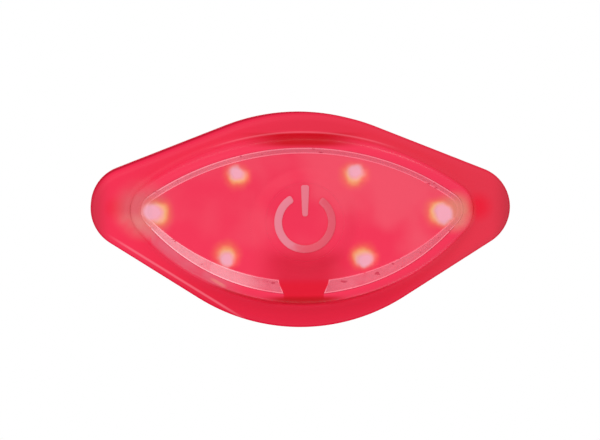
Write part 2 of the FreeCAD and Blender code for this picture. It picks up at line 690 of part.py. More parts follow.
def build_rear_shell():
    """The rigid rear shell: floor, rim, battery bay, board posts and plug pegs."""
    body = new_body("back_shell")
    base = front_sketch(body, "shell_outline", ZERO)
    outline(base, ZERO)
    pad(body, base, dim.part_line, "shell_floor")
    rear_rim = chosen_edges(body.Shape, UPRIGHT, REARWARD, 0.0, 0.0)
    chamfered(body, rear_rim, dim.rear_edge, "rear_edge")

    rim = front_sketch(body, "rim_outline", dim.part_line)
    outline(rim, rim_inset)
    pad(body, rim, board_front - dim.part_line, "rim")
    room = front_sketch(body, "room_outline", board_front)
    outline(room, room_inset)
    pocket(body, room, board_front - dim.rear_floor, "room")

    grooves = straight_pieces("shell_grooves", dim.cover_wall, rim_inset + dim.catch_depth, dim.catch_length,
                              dim.catch_start, dim.catch_width)
    joined(body, grooves, "Cut", "catch_grooves")

    ledge = front_sketch(body, "ledge_outline", dim.rear_floor, dim.core_level)
    regular(ledge, bay_outer, BAY_SIDES)
    pad(body, ledge, ledge_front - dim.rear_floor, "door_ledge")
    bay = front_sketch(body, "bay_outline", ledge_front, dim.core_level)
    regular(bay, bay_outer, BAY_SIDES)
    circle(bay, ZERO, ZERO, bay_radius)
    pad(body, bay, dim.board_back - ledge_front, "bay_wall")

    # A lug is locked against one end of a stop, and free of the ledge against the end of the one before.
    locked_edge = Size(LOCKED_LUG_ANGLE) + dim.lug_angle / 2
    free_edge = Size(LOCKED_LUG_ANGLE + 360.0 / LUGS) - dim.door_turn - dim.lug_angle / 2
    first_stop = locked_edge + dim.stop_slack
    last_stop = free_edge - dim.stop_slack
    stop = front_sketch(body, "stop_outline", ledge_front, dim.core_level)
    sector(stop, hub_radius + dim.door_gap, bay_radius + dim.bay_wall / 2, first_stop, last_stop)
    stops = pad(body, stop, hub_front - ledge_front, "lug_stop")
    polar(body, stops, stop, LUGS, "lug_stops")

    seat = front_sketch(body, "seat_outline", door_seat, dim.core_level)
    circle(seat, ZERO, ZERO, door_radius + dim.door_gap)
    pocket(body, seat, door_seat, "door_seat")
    mouth = front_sketch(body, "mouth_outline", ledge_front, dim.core_level)
    circle(mouth, ZERO, ZERO, hub_radius + dim.door_gap)
    pocket(body, mouth, ledge_front, "door_mouth")

    half_notch = (dim.lug_angle + dim.lug_slack) / 2
    free_angle = Size(LOCKED_LUG_ANGLE) - dim.door_turn
    notch = front_sketch(body, "notch_outline", ledge_front, dim.core_level)
    sector(notch, hub_inside, bay_radius, free_angle - half_notch, free_angle + half_notch)
    notches = pocket(body, notch, ledge_front - door_seat, "lug_notch")
    polar(body, notches, notch, LUGS, "lug_notches")

    posts = front_sketch(body, "post_outline", dim.rear_floor)
    pins = front_sketch(body, "pin_outline", dim.board_back)
    heads = front_sketch(body, "head_outline", board_front)
    for offset in (-dim.stake_offset, dim.stake_offset):
        rectangle(posts, offset, dim.stake_level, dim.stake_boss, dim.stake_boss)
        rectangle(pins, offset, dim.stake_level, dim.stake_pin, dim.stake_pin)
        rectangle(heads, offset, dim.stake_level, dim.stake_head, dim.stake_head)
    pad(body, posts, dim.board_back - dim.rear_floor, "board_posts")
    pad(body, pins, dim.board_thickness, "post_pins")
    pad(body, heads, dim.stake_rise, "melted_heads")

    pegs = front_sketch(body, "peg_outline", ZERO)
    for offset in (-dim.peg_spacing / 2, dim.peg_spacing / 2):
        circle(pegs, offset, ZERO, dim.peg_radius)
    pad(body, pegs, dim.peg_length, "plug_pegs", backwards=True)
    peg_end = -dim.peg_length.value
    chamfered(body, chosen_edges(body.Shape, UPRIGHT, REARWARD, peg_end, peg_end), dim.peg_lead, "peg_lead")
    keep("back_shell", body)


def cover_form(body, name, start, wall, front):
    """The cover's form, drawn in by a wall: a flat flange and a drafted dome with a crowned face."""
    spread = (dim.flange_depth - dim.dome_root) * tangent(dim.dome_draft) - wall / cosine(dim.dome_draft)
    dome = front_sketch(body, name + "_dome_outline", dim.dome_root)
    almond(dome, dim.dome_top + spread, dim.dome_bottom + spread, dim.dome_tip + spread)
    pad(body, dome, dim.dome_depth + OVERRUN - dim.dome_root, name + "_dome", lean=dim.dome_draft)
    crown_cut(body, name + "_dome_face", dim.dome_depth - front, dim.dome_crown)
    block = front_sketch(body, name + "_block_outline", start)
    outline(block, wall)
    pad(body, block, dim.flange_depth - front - start, name + "_block")


def build_front_cover():
    """The soft cover: a flange and a dome of even wall, open at the back and at the button."""
    inside = new_body("cover_inside")
    cover_form(inside, "inner", dim.part_line - OVERRUN, dim.cover_wall, dim.cover_wall)

    body = new_body("front_cover")
    cover_form(body, "outer", dim.part_line, ZERO, ZERO)
    low = dim.part_line.value
    middle = dim.flange_depth.value
    high = dim.dome_depth.value
    dome_rim = chosen_edges(body.Shape, LEANING, FORWARD, middle + NEAR * 2, high)
    chamfered(body, dome_rim, smaller(dim.dome_edge, dome_low_wall / 2), "dome_edge")
    flange_rim = chosen_edges(body.Shape, UPRIGHT, FORWARD, low, middle)
    chamfered(body, flange_rim, dim.flange_edge, "flange_edge")

    joined(body, inside, "Cut", "hollow")
    beads = straight_pieces("cover_beads", dim.cover_wall / 2, dim.cover_wall + dim.bead_height,
                            dim.catch_length - dim.bead_gap * 2, dim.catch_start + dim.bead_gap,
                            dim.catch_width - dim.bead_gap * 2)
    joined(body, beads, "Fuse", "catch_beads")

    opening = front_sketch(body, "button_opening", dim.dome_depth + OVERRUN, dim.core_level)
    circle(opening, ZERO, ZERO, dim.web_outer)
    pocket(body, opening, dim.cover_wall + OVERRUN * 2, "button_hole")
    keep("front_cover", body)


def build_button():
    """The button's flexing web and its stiff middle with the plunger behind it."""
    web = new_body("button_web")
    foot = dim.dome_depth - dim.web_thickness
    top = pad_front - dim.web_thickness
    turned(web, dim.core_level, [
        (foot, dim.web_outer),
        (dim.dome_depth, dim.web_outer),
        (pad_front, dim.pad_radius + dim.pad_gap),
        (top, dim.pad_radius + dim.pad_gap),
    ], "web")
    keep("button_web", web)

    body = new_body("button_pad")
    turned(body, dim.core_level, [
        (plunger_back, ZERO),
        (plunger_back, dim.plunger_radius),
        (pad_back, dim.plunger_radius),
        (pad_back, dim.pad_radius),
        (pad_front, dim.pad_radius),
        (pad_front, ZERO),
    ], "pad")
    keep("button_pad", body)


def build_switch():
    """The push switch under the button, in four pieces."""
    body = new_body("switch_body")
    base = front_sketch(body, "body_outline", board_front, dim.core_level)
    rectangle(base, ZERO, ZERO, dim.switch_width, dim.switch_width)
    pad(body, base, dim.switch_rise, "moulding")
    well = front_sketch(body, "well_outline", switch_front, dim.core_level)
    circle(well, ZERO, ZERO, dim.switch_well)
    pocket(body, well, dim.switch_well_depth, "well")
    keep("switch_body", body)

    plate = new_body("switch_plate")
    cover = front_sketch(plate, "plate_outline", switch_front, dim.core_level)
    rectangle(cover, ZERO, ZERO, dim.switch_width, dim.switch_width)
    circle(cover, ZERO, ZERO, dim.stem_radius + dim.stem_gap)
    pad(plate, cover, dim.switch_plate, "sheet_plate")
    keep("switch_plate", plate)

    stem = new_body("switch_stem")
    turned(stem, dim.core_level, [
        (stem_foot, ZERO),
        (stem_foot, dim.collar_radius),
        (switch_front - dim.stem_gap, dim.collar_radius),
        (switch_front - dim.stem_gap, dim.stem_radius),
        (stem_front, dim.stem_radius),
        (stem_front, ZERO),
    ], "stem")
    keep("switch_stem", stem)

    spring = new_body("snap_spring")
    bow = top_sketch(spring, "snap_outline", dim.core_level)
    floor = switch_front - dim.switch_well_depth
    crown = stem_foot - dim.stem_gap
    under = crown - dim.snap_sheet
    reach = dim.snap_reach
    inside = dim.snap_reach - dim.snap_sheet
    flat = dim.snap_flat
    polygon(bow, [(across, -depth) for across, depth in (
        (-reach, floor), (-flat, crown), (flat, crown), (reach, floor),
        (inside, floor), (flat, under), (-flat, under), (-inside, floor))])
    pad(spring, bow, dim.snap_width, "snap", both_ways=True)
    keep("snap_spring", spring)


def lamp_places():
    """Every lamp's name, place and whether its long side stands upright."""
    places = []
    for side, word in ((-1.0, "left"), (1.0, "right")):
        places.append(("led_%s_tip" % word, dim.tip_lamp_offset * side, dim.tip_lamp_level, True))
        places.append(("led_%s_top" % word, dim.top_lamp_offset * side, dim.top_lamp_level, False))
        places.append(("led_%s_low" % word, dim.low_lamp_offset * side, dim.low_lamp_level, False))
    return places


def lamp_size(upright):
    """A lamp package's width and height as it stands on the board."""
    return (dim.led_short, dim.led_long) if upright else (dim.led_long, dim.led_short)


def build_lamps():
    """Six lamp packages with a sunk window each, and the clear resin that fills the windows."""
    windows = new_body("led_windows")
    resin = front_sketch(windows, "resin_outline", lamp_front - dim.led_window_depth)
    for label, across, up, upright in lamp_places():
        body = new_body(label)
        base = front_sketch(body, label + "_outline", board_front)
        width, height = lamp_size(upright)
        rectangle(base, across, up, width, height)
        pad(body, base, dim.led_rise, label + "_package")
        sunk = front_sketch(body, label + "_window_outline", lamp_front)
        rectangle(sunk, across, up, width - dim.led_border * 2, height - dim.led_border * 2)
        pocket(body, sunk, dim.led_window_depth, label + "_window")
        keep(label, body)
        rectangle(resin, across, up, width - dim.led_border * 2, height - dim.led_border * 2)
    pad(windows, resin, dim.led_window_depth, "resin")
    keep("led_windows", windows)


def build_board():
    """The circuit board, cut with straight sides, with two holes for the posts' pins."""
    body = new_body("circuit_board")
    base = front_sketch(body, "board_outline", dim.board_back)
    corners = []
    for centre, level, radius, angles in (
            (tip_centre, ZERO, dim.tip_radius, TIP_CORNERS),
            (ZERO, top_centre, dim.top_radius, TOP_CORNERS),
            (-tip_centre, ZERO, dim.tip_radius, [180.0 - angle for angle in reversed(TIP_CORNERS)]),
            (ZERO, bottom_centre, dim.bottom_radius, reversed(BOTTOM_CORNERS))):
        reach = radius - board_inset
        for angle in angles:
            turn = math.radians(angle)
            corners.append((centre + reach * math.cos(turn), level + reach * math.sin(turn)))
    polygon(base, corners)
    for offset in (-dim.stake_offset, dim.stake_offset):
        hole = dim.stake_pin + dim.pin_gap * 2
        rectangle(base, offset, dim.stake_level, hole, hole)
    pad(body, base, dim.board_thickness, "board")
    keep("circuit_board", body)


def box(label, across, up, back, width, height, depth):
    """A plain block whose centre line and rear face are given."""
    thing = doc.addObject("Part::Box", label)
    bind(thing, "Length", width)
    bind(thing, "Width", depth)
    bind(thing, "Height", height)
    bind(thing, "Placement.Base.x", across - width / 2)
    bind(thing, "Placement.Base.y", -(back + depth))
    bind(thing, "Placement.Base.z", up - height / 2)
    return thing


def build_small_parts():
    """The chip with its legs, the resistors and the capacitor, all behind the board."""
    level = dim.tip_lamp_level
    pieces = [box("chip_block", dim.chip_offset, level, dim.board_back - dim.chip_rise,
                  dim.chip_width, dim.chip_length, dim.chip_rise - dim.chip_stand)]
    leg_run = (dim.chip_width + dim.leg_reach) / 2 - dim.leg_lap
    for side in (-1.0, 1.0):
        across = dim.chip_offset + leg_run * side
        for number in range(CHIP_LEGS_PER_SIDE):
            up = level + dim.leg_pitch * (number - (CHIP_LEGS_PER_SIDE - 1) / 2.0)
            pieces.append(box("chip_leg", across, up, dim.board_back - dim.leg_rise,
                              dim.leg_reach, dim.leg_width, dim.leg_rise))
    chip = doc.addObject("Part::MultiFuse", "controller_chip")
    chip.Shapes = pieces
    keep("controller_chip", chip)

    resistors = []
    for column in range(RESISTOR_COLUMNS):
        across = dim.resistor_offset + (dim.resistor_length + dim.resistor_width) * float(column)
        for row in range(RESISTOR_ROWS):
            up = dim.resistor_level + dim.resistor_pitch * float(row)
            resistors.append(box("resistor", across, up, dim.board_back - dim.resistor_rise,
                                 dim.resistor_length, dim.resistor_width, dim.resistor_rise))
    group = doc.addObject("Part::Compound", "resistors")
    group.Links = resistors
    keep("resistors", group)

    capacitor = box("capacitor", dim.resistor_offset + dim.resistor_width, dim.capacitor_level,
                    dim.board_back - dim.capacitor_rise, dim.capacitor_length, dim.capacitor_width,
                    dim.capacitor_rise)
    keep("capacitor", capacitor)


def build_light_guide():
    """The clear C-shaped ring, wider at the board, with a pocket for each lamp and a gap below."""
    body = new_body("light_guide")
    base = front_sketch(body, "guide_outline", board_front)
    almond(base, dim.guide_top + guide_spread, dim.guide_bottom + guide_spread,
           dim.guide_tip + guide_spread)
    almond(base, dim.guide_top - dim.guide_band - guide_spread,
           dim.guide_bottom - dim.guide_band_low - guide_spread,
           dim.guide_tip - dim.guide_band - guide_spread)
    pad(body, base, guide_front - board_front, "guide_ring", lean=dim.guide_draft)
    crown_cut(body, "guide_face", guide_front, dim.dome_crown)

    notch = front_sketch(body, "notch_outline", guide_front)
    inner = dim.notch_width / 2
    outer = inner + dim.notch_flare
    high = -(dim.guide_bottom - dim.guide_band_low * 2)
    low = -(dim.guide_bottom + CLEAR_OF_PART)
    polygon(notch, [(-inner, high), (-outer, low), (outer, low), (inner, high)])
    pocket(body, notch, guide_front - board_front, "guide_notch")

    room = front_sketch(body, "lamp_rooms", lamp_front + dim.led_gap)
    for label, across, up, upright in lamp_places():
        width, height = lamp_size(upright)
        rectangle(room, across, up, width + dim.led_gap * 2, height + dim.led_gap * 2)
    pocket(body, room, dim.led_rise + dim.led_gap, "lamp_pockets")
    keep("light_guide", body)


def build_battery():
    """The coin cell and the two springs that carry its current."""
    cell = new_body("coin_cell")
    shoulder = cell_front - dim.cell_cap_rise
    turned(cell, dim.core_level, [
        (cell_back, ZERO),
        (cell_back, dim.cell_radius),
        (shoulder, dim.cell_radius),
        (shoulder, dim.cell_cap_radius),
        (cell_front, dim.cell_cap_radius),
        (cell_front, ZERO),
    ], "cell")
    keep("coin_cell", cell)

    spring = new_body("negative_contact")
    bow = top_sketch(spring, "bow_outline", dim.core_level)
    sheet_back = dim.board_back - dim.contact_sheet
    touch = cell_front + dim.cell_gap
    lift = touch + dim.contact_sheet
    foot = dim.contact_foot
    reach = dim.contact_reach
    toe = dim.contact_reach + dim.contact_toe
    toe_lift = lift + dim.contact_toe_rise
    toe_touch = touch + dim.contact_toe_rise
    polygon(bow, [(across, -depth) for across, depth in (
        (-foot, dim.board_back), (-reach, lift), (-toe, toe_lift), (-toe, toe_touch),
        (-reach, touch), (-foot, sheet_back), (foot, sheet_back), (reach, touch),
        (toe, toe_touch), (toe, toe_lift), (reach, lift), (foot, dim.board_back))])
    pad(spring, bow, dim.contact_width, "bow", both_ways=True)
    keep("negative_contact", spring)

    clip = new_body("positive_contact")
    hook = side_sketch(clip, "hook_outline", dim.core_level)
    near = dim.cell_radius + dim.cell_gap
    far = near + dim.contact_sheet
    end = near + dim.clip_foot
    polygon(hook, [(-depth, up) for depth, up in (
        (dim.clip_end, near), (dim.board_back, near), (dim.board_back, end),
        (sheet_back, end), (sheet_back, far), (dim.clip_end, far))])
    pad(clip, hook, dim.contact_width, "hook", both_ways=True)
    keep("positive_contact", clip)


def build_door():
    """The twist-off battery door with its three lugs, coin slot and sealing ring."""
    body = new_body("battery_door")
    plate = front_sketch(body, "plate_outline", ZERO, dim.core_level)
    circle(plate, ZERO, ZERO, door_radius)
    pad(body, plate, dim.seal_floor, "door_plate")
    chamfered(body, chosen_edges(body.Shape, UPRIGHT, REARWARD, 0.0, 0.0), dim.door_edge, "door_edge")
    hub = front_sketch(body, "hub_outline", dim.seal_floor, dim.core_level)
    circle(hub, ZERO, ZERO, hub_radius)
    pad(body, hub, hub_front - dim.seal_floor, "hub")
    room = front_sketch(body, "hub_room_outline", hub_front, dim.core_level)
    circle(room, ZERO, ZERO, hub_inside)
    pocket(body, room, hub_front - dim.door_plate, "hub_room")
    lug = front_sketch(body, "lug_outline", lug_back, dim.core_level)
    middle = Size(LOCKED_LUG_ANGLE)
    half = dim.lug_angle / 2
    sector(lug, hub_radius - dim.hub_wall / 2, lug_tip, middle - half, middle + half)
    lugs = pad(body, lug, dim.lug_rise, "lug")
    polar(body, lugs, lug, LUGS, "lugs")
    slot = front_sketch(body, "coin_outline", dim.coin_depth, dim.core_level)
    rectangle(slot, ZERO, ZERO, dim.coin_length, dim.coin_width)
    pocket(body, slot, dim.coin_depth, "coin_slot")
    keep("battery_door", body)

    seal = new_body("door_seal")
    ring = front_sketch(seal, "seal_outline", dim.seal_floor + dim.seal_rest, dim.core_level)
    seal_inside = hub_radius + dim.seal_rest
    circle(ring, ZERO, ZERO, seal_inside)
    circle(ring, ZERO, ZERO, seal_inside + dim.seal_width)
    pad(seal, ring, door_seat - dim.seal_floor - dim.seal_rest * 2, "ring")
    keep("door_seal", seal)


def check_document():
    """Stop if any object failed or any kept piece has no sound solid."""
    doc.recompute()
    for thing in doc.Objects:
        if "Invalid" in thing.State or "Error" in thing.State:
            raise RuntimeError("%s failed: %s" % (thing.Name, thing.State))
    for label, thing in nodes.items():
        shape = thing.Shape
        if shape.isNull() or not shape.isValid() or not shape.Solids:
            raise RuntimeError("%s has no sound shape" % label)


def export_nodes():
    """Write each kept piece to its own file and print what it holds."""
    os.makedirs("parts", exist_ok=True)
    for label, thing in nodes.items():
        thing.Shape.exportStep("parts/%s.step" % label)
        print("%-18s solids %d  volume %9.2f" % (label, len(thing.Shape.Solids), thing.Shape.Volume))


build_rear_shell()
build_front_cover()
build_button()
build_switch()
build_lamps()
build_board()
build_small_parts()
build_light_guide()
build_battery()
build_door()
check_document()
export_nodes()
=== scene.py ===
"""Helmet light: see-through red cover, light guide ring, push button, six lamps and a twist-off door."""
import logging
import math
from collections.abc import Callable, Iterable, Mapping, Sequence
from dataclasses import dataclass
from enum import Enum

import bmesh
import bpy
from mathutils import Matrix, Vector


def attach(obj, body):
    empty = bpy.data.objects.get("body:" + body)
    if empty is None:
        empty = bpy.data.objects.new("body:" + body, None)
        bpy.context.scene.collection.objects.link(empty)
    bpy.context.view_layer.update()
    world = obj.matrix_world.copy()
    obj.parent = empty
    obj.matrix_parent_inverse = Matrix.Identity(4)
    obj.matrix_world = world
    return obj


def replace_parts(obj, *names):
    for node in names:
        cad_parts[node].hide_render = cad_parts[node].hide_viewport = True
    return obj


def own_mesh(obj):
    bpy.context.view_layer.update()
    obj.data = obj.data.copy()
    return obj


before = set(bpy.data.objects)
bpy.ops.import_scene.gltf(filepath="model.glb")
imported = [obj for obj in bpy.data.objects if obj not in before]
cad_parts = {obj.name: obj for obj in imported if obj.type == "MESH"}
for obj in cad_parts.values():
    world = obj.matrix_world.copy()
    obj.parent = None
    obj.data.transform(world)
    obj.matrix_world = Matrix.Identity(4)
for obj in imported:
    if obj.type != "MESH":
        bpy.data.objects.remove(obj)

MM = 0.001
IMAGE_WIDTH = 600
SHARP_EDGE = math.radians(38.0)
WELD = 0.0005
# A face whose normal lies further forward than this belongs to the outside.
FORWARD = -0.3
NOISE_CENTRE = 0.5
NOISE_RANGE = (0.3, 0.7)
NOISE_MIDDLE = (0.35, 0.65)
# The numbers of the colour sockets on a mix node.
MIX_FIRST, MIX_SECOND, MIX_RESULT = 6, 7, 2
# Keeps a place's width and height and drops its depth.
FRONT_VIEW = (1.0, 0.0, 1.0)
LOG = logging.getLogger("helmet_light")

Point = tuple[float, float]
# A fade is the value at which something is gone and the one at which it is full.
Fade = tuple[float, float]
Place = tuple[float, float, float]
Colour = tuple[float, float, float]
Socket = bpy.types.NodeSocket
Material = bpy.types.Material
Shape = bmesh.types.BMesh
Piece = bpy.types.Object
Inputs = Mapping[str | int, object]


class Body(Enum):
    """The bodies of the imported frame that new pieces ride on."""

    HOUSING = "housing"
    BUTTON = "button"


class Skin(Enum):
    """The surfaces of the soft moulding, as numbers of their material slots."""

    OUTSIDE = 0
    INSIDE = 1
    SIDE = 2


class Ring(Enum):
    """The surfaces of the light guide, as numbers of their material slots."""

    WALL = 0
    BAND = 1
    EDGE = 2


def shade(red: int, green: int, blue: int) -> Colour:
    """Turn a colour as it looks on a screen into the linear numbers that shaders take.

    Args:
        red: Red, 0 to 255.
        green: Green, 0 to 255.
        blue: Blue, 0 to 255.

    Returns:
        The linear colour.
    """
    def linear(level: int) -> float:
        """One channel's linear value."""
        value = level / 255.0
        return value / 12.92 if value <= 0.04045 else ((value + 0.055) / 1.055) ** 2.4
    return (linear(red), linear(green), linear(blue))


def arc_points(centre: Point, radius: float, start: float, end: float, count: int) -> list[Point]:
    """Place points along an arc, the last one left to the next curve.

    Args:
        centre: The arc's centre.
        radius: Its radius.
        start: The angle that it starts at, in radians.
        end: The angle that it ends at.
        count: How many points.

    Returns:
        The points.
    """
    angles = [start + (end - start) * number / count for number in range(count)]
    return [(centre[0] + radius * math.cos(a), centre[1] + radius * math.sin(a)) for a in angles]


def line_points(start: Point, end: Point, count: int) -> list[Point]:
    """Place points along a line, the last one left to the next curve.

    Args:
        start: The first point.
        end: The point that the line runs to.
        count: How many points.

    Returns:
        The points.
    """
    shares = [number / count for number in range(count)]
    return [(start[0] + (end[0] - start[0]) * s, start[1] + (end[1] - start[1]) * s) for s in shares]


@dataclass(frozen=True)
class BodyOutline:
    """The light's outline: two tip arcs, a top arc and a bottom arc, joined by tangent lines."""

    tip_across: float = 28.2
    tip_radius: float = 6.8
    top_radius: float = 34.0
    top_centre: float = -18.2
    bottom_radius: float = 32.1
    bottom_centre: float = 12.1
    tip_count: int = 36
    line_count: int = 16
    arc_count: int = 36

    def touching(self, radius: float, rise: float) -> float:
        """The angle at which a line touches a tip arc and a side arc whose centre lies a rise away."""
        spread = math.hypot(self.tip_across, rise)
        return math.atan2(rise, self.tip_across) + math.acos((radius - self.tip_radius) / spread)

    def loop(self, inset: float) -> list[Point]:
        """Place points round the outline, starting at the lower end of the right tip.

        Args:
            inset: How far the outline is moved inwards.

        Returns:
            The points, as many for every inset.
        """
        upper = self.touching(self.top_radius, -self.top_centre)
        lower = self.touching(self.bottom_radius, self.bottom_centre)
        radii = (self.tip_radius, self.top_radius, self.bottom_radius)
        tip, top, bottom = (radius - inset for radius in radii)
        far_upper, far_lower = math.pi - upper, math.pi + lower

        def reach(centre: Point, radius: float, angle: float) -> Point:
            """The point of an arc at an angle."""
            return (centre[0] + radius * math.cos(angle), centre[1] + radius * math.sin(angle))

        right, left = (self.tip_across, 0.0), (-self.tip_across, 0.0)
        over, under = (0.0, self.top_centre), (0.0, self.bottom_centre)
        points = arc_points(right, tip, -lower, upper, self.tip_count)
        points += line_points(reach(right, tip, upper), reach(over, top, upper), self.line_count)
        points += arc_points(over, top, upper, far_upper, self.arc_count)
        points += line_points(reach(over, top, far_upper), reach(left, tip, far_upper), self.line_count)
        points += arc_points(left, tip, far_upper, far_lower, self.tip_count)
        points += line_points(reach(left, tip, far_lower), reach(under, bottom, far_lower), self.line_count)
        points += arc_points(under, bottom, far_lower, 2 * math.pi - lower, self.arc_count)
        points += line_points(reach(under, bottom, -lower), reach(right, tip, -lower), self.line_count)
        return points


@dataclass(frozen=True)
class AlmondOutline:
    """An almond outline: two long arcs that run into two tip arcs."""

    top: float
    bottom: float
    tip_radius: float
    tip_across: float = 23.7
    level: float = -0.3
    tip_share: float = 0.45
    tip_count: int = 36
    side_count: int = 68

    def side_radius(self, drop: float) -> float:
        """The radius of an arc that passes a drop from the tip line and touches both tip arcs."""
        return (self.tip_across ** 2 + drop ** 2 - self.tip_radius ** 2) / ((drop - self.tip_radius) * 2)

    def top_arc(self) -> tuple[float, float]:
        """The radius and the centre's height of the top arc."""
        radius = self.side_radius(self.top - self.level)
        return radius, self.top - radius

    def bottom_arc(self) -> tuple[float, float]:
        """The radius and the centre's height of the bottom arc."""
        radius = self.side_radius(self.bottom + self.level)
        return radius, radius - self.bottom

    def loop(self, inset: float) -> list[Point]:
        """Place points round the outline, starting at the lower end of the right tip.

        Args:
            inset: How far the outline is moved inwards.

        Returns:
            The points, as many as the body's outline has.
        """
        top_radius, over = self.top_arc()
        bottom_radius, under = self.bottom_arc()
        upper = math.atan2(self.level - over, self.tip_across)
        lower = math.atan2(under - self.level, self.tip_across)
        right, left = (self.tip_across, self.level), (-self.tip_across, self.level)
        far_upper, far_lower = math.pi - upper, math.pi + lower
        points = arc_points(right, self.tip_radius - inset, -lower, upper, self.tip_count)
        points += arc_points((0.0, over), top_radius - inset, upper, far_upper, self.side_count)
        points += arc_points(left, self.tip_radius - inset, far_upper, far_lower, self.tip_count)
        end = 2 * math.pi - lower
        points += arc_points((0.0, under), bottom_radius - inset, far_lower, end, self.side_count)
        return points


DOME_FOOT = AlmondOutline(top=12.3, bottom=16.2, tip_radius=5.0)
RING_OUTSIDE = AlmondOutline(top=10.1, bottom=14.1, tip_radius=3.0)
RING_INSIDE = AlmondOutline(top=9.15, bottom=11.9, tip_radius=2.05)


@dataclass(frozen=True)
class Crown:
    """The dome's crown: flat in the middle, falling back along an arc to both sides."""

    flat: float = 10.0
    radius: float = 65.0

    def drop(self, across: float) -> float:
        """How far the face falls back at a distance from the middle."""
        run = max(0.0, abs(across) - self.flat)
        return self.radius - math.sqrt(self.radius ** 2 - run ** 2)


DOME_CROWN = Crown()


@dataclass(frozen=True)
class Spot:
    """A round patch in the front view: its place, how it fades away from there and its share."""

    place: Point
    fade: Fade
    share: float = 1.0


@dataclass(frozen=True)
class Zone:
    """A patch in the front view: how it fades with the height, along the width and to both sides."""

    up: tuple[Fade, ...] = ()
    side: tuple[Fade, ...] = ()
    wide: tuple[Fade, ...] = ()
    share: float = 1.0


@dataclass(frozen=True)
class Line:
    """A thin line where a distance passes a place, how it fades beside it and, if straight, its slope."""

    place: float
    fade: Fade
    slope: Point = (0.0, 0.0)


@dataclass(frozen=True)
class Haze:
    """A milky patch at one tip of the cover, paler in its lower part."""

    spot: Spot
    colour: Colour
    share: float
    pale_heights: Fade
    pale_share: float


@dataclass(frozen=True)
class Halo:
    """One zone of a lamp's light in the moulding, in millimetres from the edge of the light's core."""

    lean: float
    outer: float
    inner: float
    core_share: float = 1.0
    share: float = 1.0


